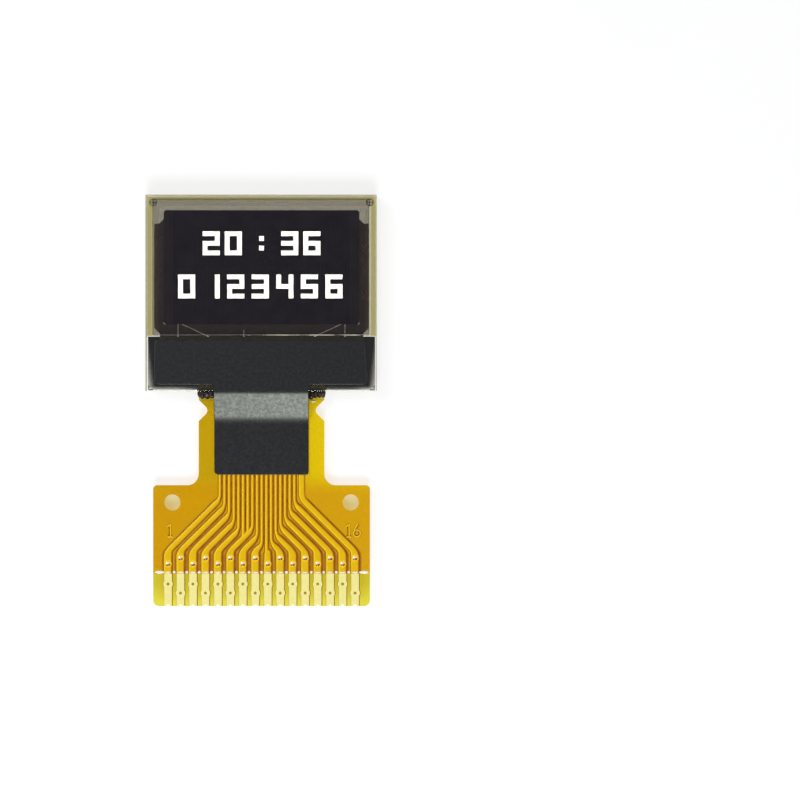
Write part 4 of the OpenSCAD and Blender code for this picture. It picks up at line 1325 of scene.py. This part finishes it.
def ridge_nodes():
    """Ridges of a cover film: a band along each lead, raised over it, with domes at the vias."""
    tree = Nodes(
        "CoverRidges",
        Step=0.04 * MM,
        Rise=0.015 * MM,
        Shoulder=0.03 * MM,
        Dome_Radius=0.15 * MM,
        Dome_Rise=0.03 * MM,
        Vias="Object",
        Finish="Material",
    )
    inputs, maths, vector = tree.inputs, tree.math, tree.vector

    def store(geometry, name, value, kind="FLOAT"):
        traits = {"data_type": kind, "domain": "POINT"}
        return tree.node(
            "GeometryNodeStoreNamedAttribute", **traits, Geometry=geometry, Name=name, Value=value
        )

    def attribute(name, kind="FLOAT"):
        made = tree.node("GeometryNodeInputNamedAttribute", data_type=kind, Name=name)
        return made.outputs["Attribute"]

    def clamp(value):
        return tree.feed("ShaderNodeClamp", value)[0]

    # The band: across it, the attribute goes from -1 to 1
    place = tree.node("GeometryNodeInputPosition").outputs[0]
    curve = tree.node("GeometryNodeMeshToCurve", Mesh=inputs["Geometry"])
    fine = tree.node("GeometryNodeResampleCurve", mode="LENGTH", Curve=curve, Length=inputs["Step"])
    middles = store(fine, "centre", place, "FLOAT_VECTOR")
    ends = {"Start": (-0.1 * MM, 0, 0), "End": (0.1 * MM, 0, 0)}
    line = tree.node("GeometryNodeCurvePrimitiveLine", **ends)
    dots = tree.node("GeometryNodeResampleCurve", Curve=line, Count=22)
    along = tree.node("GeometryNodeSplineParameter").outputs["Factor"]
    profile = store(dots, "across", maths("SUBTRACT", maths("MULTIPLY", along, 2.0), 1.0))
    band = tree.node("GeometryNodeCurveToMesh", Curve=middles, Profile_Curve=profile)

    # How far a point lies from the middle line: the inner ones over the lead, the others in the gap
    inner = 0.72
    sided, half = attribute("across"), attribute("half")
    share = maths("ABSOLUTE", sided)
    right = maths("GREATER_THAN", sided, 0.0)
    on_right = maths("MULTIPLY", right, attribute("right_gap"))
    on_left = maths("MULTIPLY", maths("SUBTRACT", 1.0, right), attribute("left_gap"))
    gap = maths("ADD", on_right, on_left)
    over_lead = maths("MULTIPLY", clamp(maths("DIVIDE", share, inner)), half)
    into_gap = clamp(maths("DIVIDE", maths("SUBTRACT", share, inner), 1 - inner))
    reach = maths("ADD", over_lead, maths("MULTIPLY", into_gap, gap))
    middle = attribute("centre", "FLOAT_VECTOR")
    aside = vector("NORMALIZE", vector("SUBTRACT", place, middle)[0])[0]
    moved = tree.node("ShaderNodeVectorMath", operation="SCALE", Vector=aside, Scale=reach)
    flat = vector("ADD", middle, moved)[0]

    # The rise over the lead and at the nearest via
    edge = maths("SUBTRACT", reach, half)
    lift = clamp(maths("SUBTRACT", 0.5, maths("DIVIDE", edge, inputs["Shoulder"])))
    steep = maths("SUBTRACT", 3.0, maths("MULTIPLY", lift, 2.0))
    smooth = maths("MULTIPLY", maths("MULTIPLY", lift, lift), steep)
    vias = tree.node("GeometryNodeObjectInfo", Object=inputs["Vias"]).outputs["Geometry"]
    near = tree.node(
        "GeometryNodeProximity", target_element="POINTS", Geometry=vias, Sample_Position=flat
    )
    ring = maths("DIVIDE", near.outputs["Distance"], inputs["Dome Radius"])
    dome = clamp(maths("SUBTRACT", 1.0, maths("MULTIPLY", ring, ring)))
    rise = maths("MULTIPLY", smooth, inputs["Rise"])
    rise = maths("ADD", rise, maths("MULTIPLY", dome, inputs["Dome Rise"]))
    parts = tree.split(flat)
    height = maths("ADD", parts["Z"], rise)
    whole = tree.feed("ShaderNodeCombineXYZ", parts["X"], parts["Y"], height)[0]

    # What the finish reads: side says on which side of a lead the painted highlight goes and on which
    # the painted shade line, and lee gives a via bump's shaded side
    from_via = vector("SUBTRACT", flat, near.outputs["Position"])[0]
    shaded_side = vector("DOT_PRODUCT", from_via, (0.25, -0.97, 0.0))["Value"]
    marks = {
        "edge": maths("MULTIPLY", edge, 1000.0),
        "side": right,
        "ring": ring,
        "lee": maths("DIVIDE", shaded_side, inputs["Dome Radius"]),
    }
    for name, value in marks.items():
        band = store(band, name, value)
    shape = tree.node("GeometryNodeSetPosition", Geometry=band, Position=whole)
    return tree.close(tree.node("GeometryNodeSetShadeSmooth", Geometry=shape))


def ridge_finish(name, body):
    """Cover film over the leads: golden, with a painted highlight on the lit side and a painted shade
    line on the other.

    A via's bump gets a painted highlight towards the light and painted shade behind it.
    """
    made = Finish(name)

    def ramp(label, low, high, *stops):
        """Colours along one of the ridges' marks, each at its own place between low and high."""
        mark = made.node("ShaderNodeAttribute", attribute_name=label).outputs["Fac"]
        colours = made.node("ShaderNodeValToRGB", Fac=made.spread(mark, low, high))
        elements = colours.color_ramp.elements
        while len(elements) < len(stops):
            elements.new(0.5)
        for element, (place, colour) in zip(elements, stops):
            element.position = (place - low) / (high - low)
            element.color = colour
        return colours.outputs["Color"]

    # painted highlight: a bright band just inside the lead's edge on its lit side
    lit = (
        (-0.05, srgb(252, 208, 16)),
        (-0.015, srgb(255, 226, 34)),
        (0.02, srgb(166, 92, 10)),
        (0.06, srgb(166, 104, 28)),
        (0.12, srgb(178, 120, 40)),
    )
    # painted shade: a dark line along the lead's other side
    shaded = (
        (-0.05, srgb(228, 172, 12)),
        (-0.025, srgb(196, 126, 8)),
        (0.01, srgb(132, 62, 4)),
        (0.05, srgb(144, 80, 16)),
        (0.12, srgb(176, 118, 38)),
    )
    lit, shaded = (ramp("edge", -0.2, 0.2, (-0.10, body), *stops) for stops in (lit, shaded))
    side = made.node("ShaderNodeAttribute", attribute_name="side").outputs["Fac"]
    film = made.mix(side, shaded, lit)
    brown = srgb(214, 156, 12)
    mottled = made.mottle(Colour=film, Second_Colour=brown, Scale=3500.0, Contrast=0.2)["Colour"]
    halo = ramp("ring", 0.0, 2.0, (0.95, BLACK), (1.05, WHITE), (1.45, WHITE), (1.60, BLACK))
    ringed = made.mix(halo, mottled, srgb(255, 208, 22))
    bump = ramp("ring", 0.0, 2.0, (0.92, WHITE), (1.04, BLACK))
    # painted highlight and painted shade on a via bump, placed by its lee mark
    shine = (
        (-0.20, srgb(255, 246, 222)),
        (0.08, srgb(236, 190, 96)),
        (0.24, srgb(140, 62, 4)),
        (0.8, srgb(104, 38, 2)),
    )
    bumped = made.mix(bump, ringed, ramp("lee", -1.0, 1.0, *shine))
    # the bump is metallic only on its side towards the light, to go with its painted highlight
    facing = ramp("lee", -1.0, 1.0, (-0.3, (0.2, 0.2, 0.2, 1)), (0.0, BLACK))
    relief = made.group(grain_group(), Scale=16000.0, Depth=0.0005 * MM)["Normal"]
    made.set(Base_Color=bumped, Metallic=made.math("MULTIPLY", bump, facing), Normal=relief)
    return made.set(Roughness=0.22, Specular_Tint=(1.0, 0.88, 0.5, 1))


class OLED_OT_circuit(bpy.types.Operator):
    """Finishes the flexible circuit's films, copper and gold"""

    bl_idname = "oled.circuit"
    bl_label = "Flexible Circuit"

    def execute(self, context):
        settings = context.scene.oled_circuit
        paint(self.base_film(settings), "flex_base_film")
        brown = srgb(206, 140, 34)
        copper = solid_finish("CoveredCopper", settings.copper, brown, 0.35, metallic=0.3, depth=0.8)
        copper.blend_base(copper.facing(False), srgb(64, 58, 46))
        paint(copper, "front_traces", "rear_contacts", "pin_numbers")
        pale = srgb(244, 232, 138)
        gold = solid_finish("GoldFinish", settings.gold, pale, 0.38, scale=5000.0, depth=1.2)
        paint(gold, "front_plating", "rear_plating")
        self.cover_films(settings)
        first, second = srgb(150, 110, 50), srgb(120, 84, 36)
        barrel = solid_finish("BarrelCopper", first, second, 0.4, metallic=0.6, depth=0.6)
        paint(barrel, "via_barrels", "pad_barrels")
        self.pad_details()
        self.beads(settings)
        return {"FINISHED"}

    def base_film(self, settings):
        """Yellow film, brighter towards its soldering end."""
        second = srgb(206, 186, 20)
        made = solid_finish("BaseFilm", settings.base, second, 0.35, scale=400.0, depth=0.5)
        end = made.sweep((0, -1, 0), -FRONT_OPEN_Y + 0.3 * MM, -FLEX_LOW.y)
        made.blend_base(end, srgb(238, 230, 64))
        made.blend_base(made.facing(False), srgb(216, 160, 20))
        below = made.mix(end, (0.95, 0.72, 0.16, 1), (0.93, 0.86, 0.16, 1))
        return make_film(made, (0.70, 0.62, 0.05, 1), 0.72, below, 0.2)

    def cover_film(self, settings, name, tint_below, body_below):
        """Amber film: yellower on the neck and at the right, browner by the leads."""
        made = solid_finish(name, settings.cover, srgb(218, 160, 12), 0.3, scale=350.0, depth=0.5)
        made.set(Specular_Tint=(1.0, 0.86, 0.42, 1))
        neck = made.sweep((0, 1, 0), TAB_TOP_Y - 0.6 * MM, TAB_TOP_Y + 0.9 * MM)
        right = made.sweep((1, 0, 0), -2.0 * MM, 4.5 * MM)
        pale = made.mix(right, srgb(198, 164, 0), srgb(255, 228, 4))
        made.blend_base(made.math("MULTIPLY", right, 0.5), srgb(240, 188, 20))
        made.blend_base(neck, pale)
        shoulder = made.sweep((0, 1, 0), WAIST_Y, PANEL_LOW.y)
        made.blend_base(made.math("MULTIPLY", shoulder, 0.45), srgb(150, 132, 0))
        return make_film(made, (1.0, 0.80, 0.22, 1), 0.62, tint_below, body_below)

    def cover_films(self, settings):
        """Both cover films and their ridges; the front one is a sheet with the locating holes."""
        front = self.cover_film(settings, "CoverFilm", (1.0, 0.82, 0.26, 1), 0.12)
        rear = self.cover_film(settings, "RearCoverFilm", (0.80, 0.58, 0.10, 1), 0.30)
        holes = [circle((side * HOLE_X, HOLE_Y), HOLE_RADIUS, 40) for side in (-1, 1)]
        bottom = COVER_LOW.z + SEEN_APART
        sheet = plateau(front_cover_outline(), holes, bottom, COVER_LEVEL, 0.006 * MM)
        piece("front_cover_sheet", [sheet], front, "front_coverlay", "front_coverlay")
        paint(rear, "rear_coverlay")
        rise = settings.ridge_height
        paths = lead_paths(TAPE_LOW.y + 0.2 * MM) + number_paths()
        finish = ridge_finish("CoverRidge", srgb(238, 194, 12))
        self.ridges("front", paths, COVER_LEVEL, 1, rise, 0.045 * MM, finish)
        finish = ridge_finish("RearRidge", srgb(255, 186, 10))
        self.ridges("rear", finger_paths(), REAR_LOW.z, -1, rise, 0.035 * MM, finish)

    def ridges(self, side, paths, level, up, rise, dome_rise, finish):
        """A cover film's ridges, which rise from its level by rise times up, 1 or -1."""
        vias = bpy.data.meshes.new("via_places")
        vias.from_pydata([(pad_x(n), VIA_ROWS[n % 2], level) for n in range(PADS)], [], [])
        places = add_object("via_places", vias)
        made = path_object(side + "_cover_ridges", paths, level + up * RIDGE_CLEARANCE)
        ridge_nodes().run(
            made,
            Step=0.040 * MM,
            Rise=up * rise,
            Shoulder=0.045 * MM,
            Dome_Radius=0.125 * MM,
            Dome_Rise=up * dome_rise,
            Vias=places,
            Finish=finish.material,
        )
        bpy.data.objects.remove(places)
        if up < 0:
            made.data.flip_normals()
        hand_in(made, side + "_coverlay")

    def pad_details(self):
        """Filled barrels of the pads, and the foot of the copper at the pads' sides, which reaches
        further on the right side as a painted shade line.
        """
        low, high, edge = REAR_LOW.z + 0.004 * MM, GOLD_LEVEL - 0.006 * MM, 0.004 * MM
        y_ends = (FRONT_OPEN_Y - 0.01 * MM, FLEX_LOW.y + 0.02 * MM)
        foot_high, land_high = COPPER_LEVEL + 0.004 * MM, COPPER_LEVEL + 0.005 * MM
        round_edge = 0.002 * MM
        plugs, feet = [], []
        for n in range(PADS):
            x, y = pad_x(n), PAD_HOLE_ROWS[n % 2]
            plugs.append(plateau(circle((x, y), 0.088 * MM, 20), [], low, high, edge))
            # the copper's etched side, widened on the right side of each pad as painted shade
            for side, reach in ((-1, 0.012 * MM), (1, 0.045 * MM)):
                x_ends = [x + side * (PAD_WIDTH / 2 + more) for more in (-0.01 * MM, reach)]
                foot = rectangle(x_ends, y_ends)
                feet.append(plateau(foot, [], COPPER_LEVEL, foot_high, round_edge))
                middle = 90 - side * 90
                centre = (x + side * reach * 0.6, y)
                land = arc(centre, 0.262 * MM, middle - 60, middle + 60, 10)
                feet.append(plateau(land, [], COPPER_LEVEL, land_high, round_edge))
        fill = solid_finish("BarrelFill", srgb(176, 144, 44), srgb(150, 116, 32), 0.4, scale=9000.0)
        fill.set(Specular_IOR_Level=0.2)
        piece("pad_barrel_fills", plugs, fill, "barrel")
        copper = solid_finish("CopperFoot", srgb(164, 116, 24), srgb(140, 92, 20), 0.4, depth=0.6)
        piece("pad_copper_feet", feet, copper, "copper")

    def beads(self, settings):
        """Glue squeezed from under the cover films: drops between the pads and dashes on them; their
        white and pinkish white are painted highlights.
        """
        # painted highlights: the glue's glints are given as its white colour
        first, second = srgb(255, 252, 240), srgb(246, 238, 214)
        white = solid_finish("GlueBead", first, second, 0.2, scale=6000.0)
        first, second = srgb(255, 240, 226), srgb(248, 222, 190)
        blush_glint = solid_finish("GlueBlush", first, second, 0.25, scale=6000.0)
        chance = random.Random(BEAD_SEED)
        front = ("front_glue_beads", FRONT_OPEN_Y, COVER_LEVEL, 1)
        rear = ("rear_glue_beads", REAR_OPEN_Y, REAR_LOW.z, -1)
        for name, open_y, level, up in (front, rear):
            edge, low = open_y + 0.07 * MM, level + up * 0.002 * MM
            crest = level + up * (settings.ridge_height + 0.001 * MM)
            drops, dashes = [], []
            for n in range(PADS - 1):
                wide = (PAD_PITCH - PAD_WIDTH) * chance.uniform(0.28, 0.36)
                middle = (pad_x(n) + PAD_PITCH / 2, edge, low)
                drops.append(lump(middle, (wide, 0.072 * MM, 0.018 * MM), n + 90, 2))
            for side in (-1, 1):
                x = side * (pad_x(PADS - 1) + PAD_PITCH / 2 + 0.12 * MM)
                drops.append(lump((x, edge, low), (0.25 * MM, 0.07 * MM, 0.018 * MM), 120))
            for n in range(PADS):
                wide = PAD_WIDTH * chance.uniform(0.38, 0.46)
                spot = (pad_x(n), edge - 0.01 * MM, crest)
                dashes.append(lump(spot, (wide, 0.050 * MM, 0.010 * MM), n + 130, 2))
            piece(name + "_drops", drops, white, "glue_beads", name, smooth=True)
            piece(name + "_dashes", dashes, blush_glint, "glue_beads", smooth=True)


# Sidebar panel and running ---------------------------------------------------------------------

OPERATORS = (
    OLED_OT_stage,
    OLED_OT_glass,
    OLED_OT_display,
    OLED_OT_routing,
    OLED_OT_driver,
    OLED_OT_circuit,
)


class OLED_PT_module(bpy.types.Panel):
    """Lists the module's pieces in the sidebar"""

    bl_idname = "OLED_PT_module"
    bl_label = "OLED module"
    bl_space_type = "VIEW_3D"
    bl_region_type = "UI"
    bl_category = "OLED module"

    def draw(self, context):
        for operator in OPERATORS:
            self.layout.operator(operator.bl_idname)
        for name, group in SETTINGS.items():
            box = self.layout.box()
            box.label(text=group.__doc__)
            for key in group.__annotations__:
                box.prop(getattr(context.scene, name), key)


def register():
    for group in SETTINGS.values():
        bpy.utils.register_class(group)
    for name, group in SETTINGS.items():
        setattr(bpy.types.Scene, name, PointerProperty(type=group))
    for operator in OPERATORS:
        bpy.utils.register_class(operator)
    bpy.utils.register_class(OLED_PT_module)


def unregister():
    bpy.utils.unregister_class(OLED_PT_module)
    for operator in reversed(OPERATORS):
        bpy.utils.unregister_class(operator)
    for name, group in SETTINGS.items():
        delattr(bpy.types.Scene, name)
        bpy.utils.unregister_class(group)


def main():
    register()
    for operator in OPERATORS:
        area, name = operator.bl_idname.split(".")
        getattr(getattr(bpy.ops, area), name)()


if __name__ == "__main__":
    main()
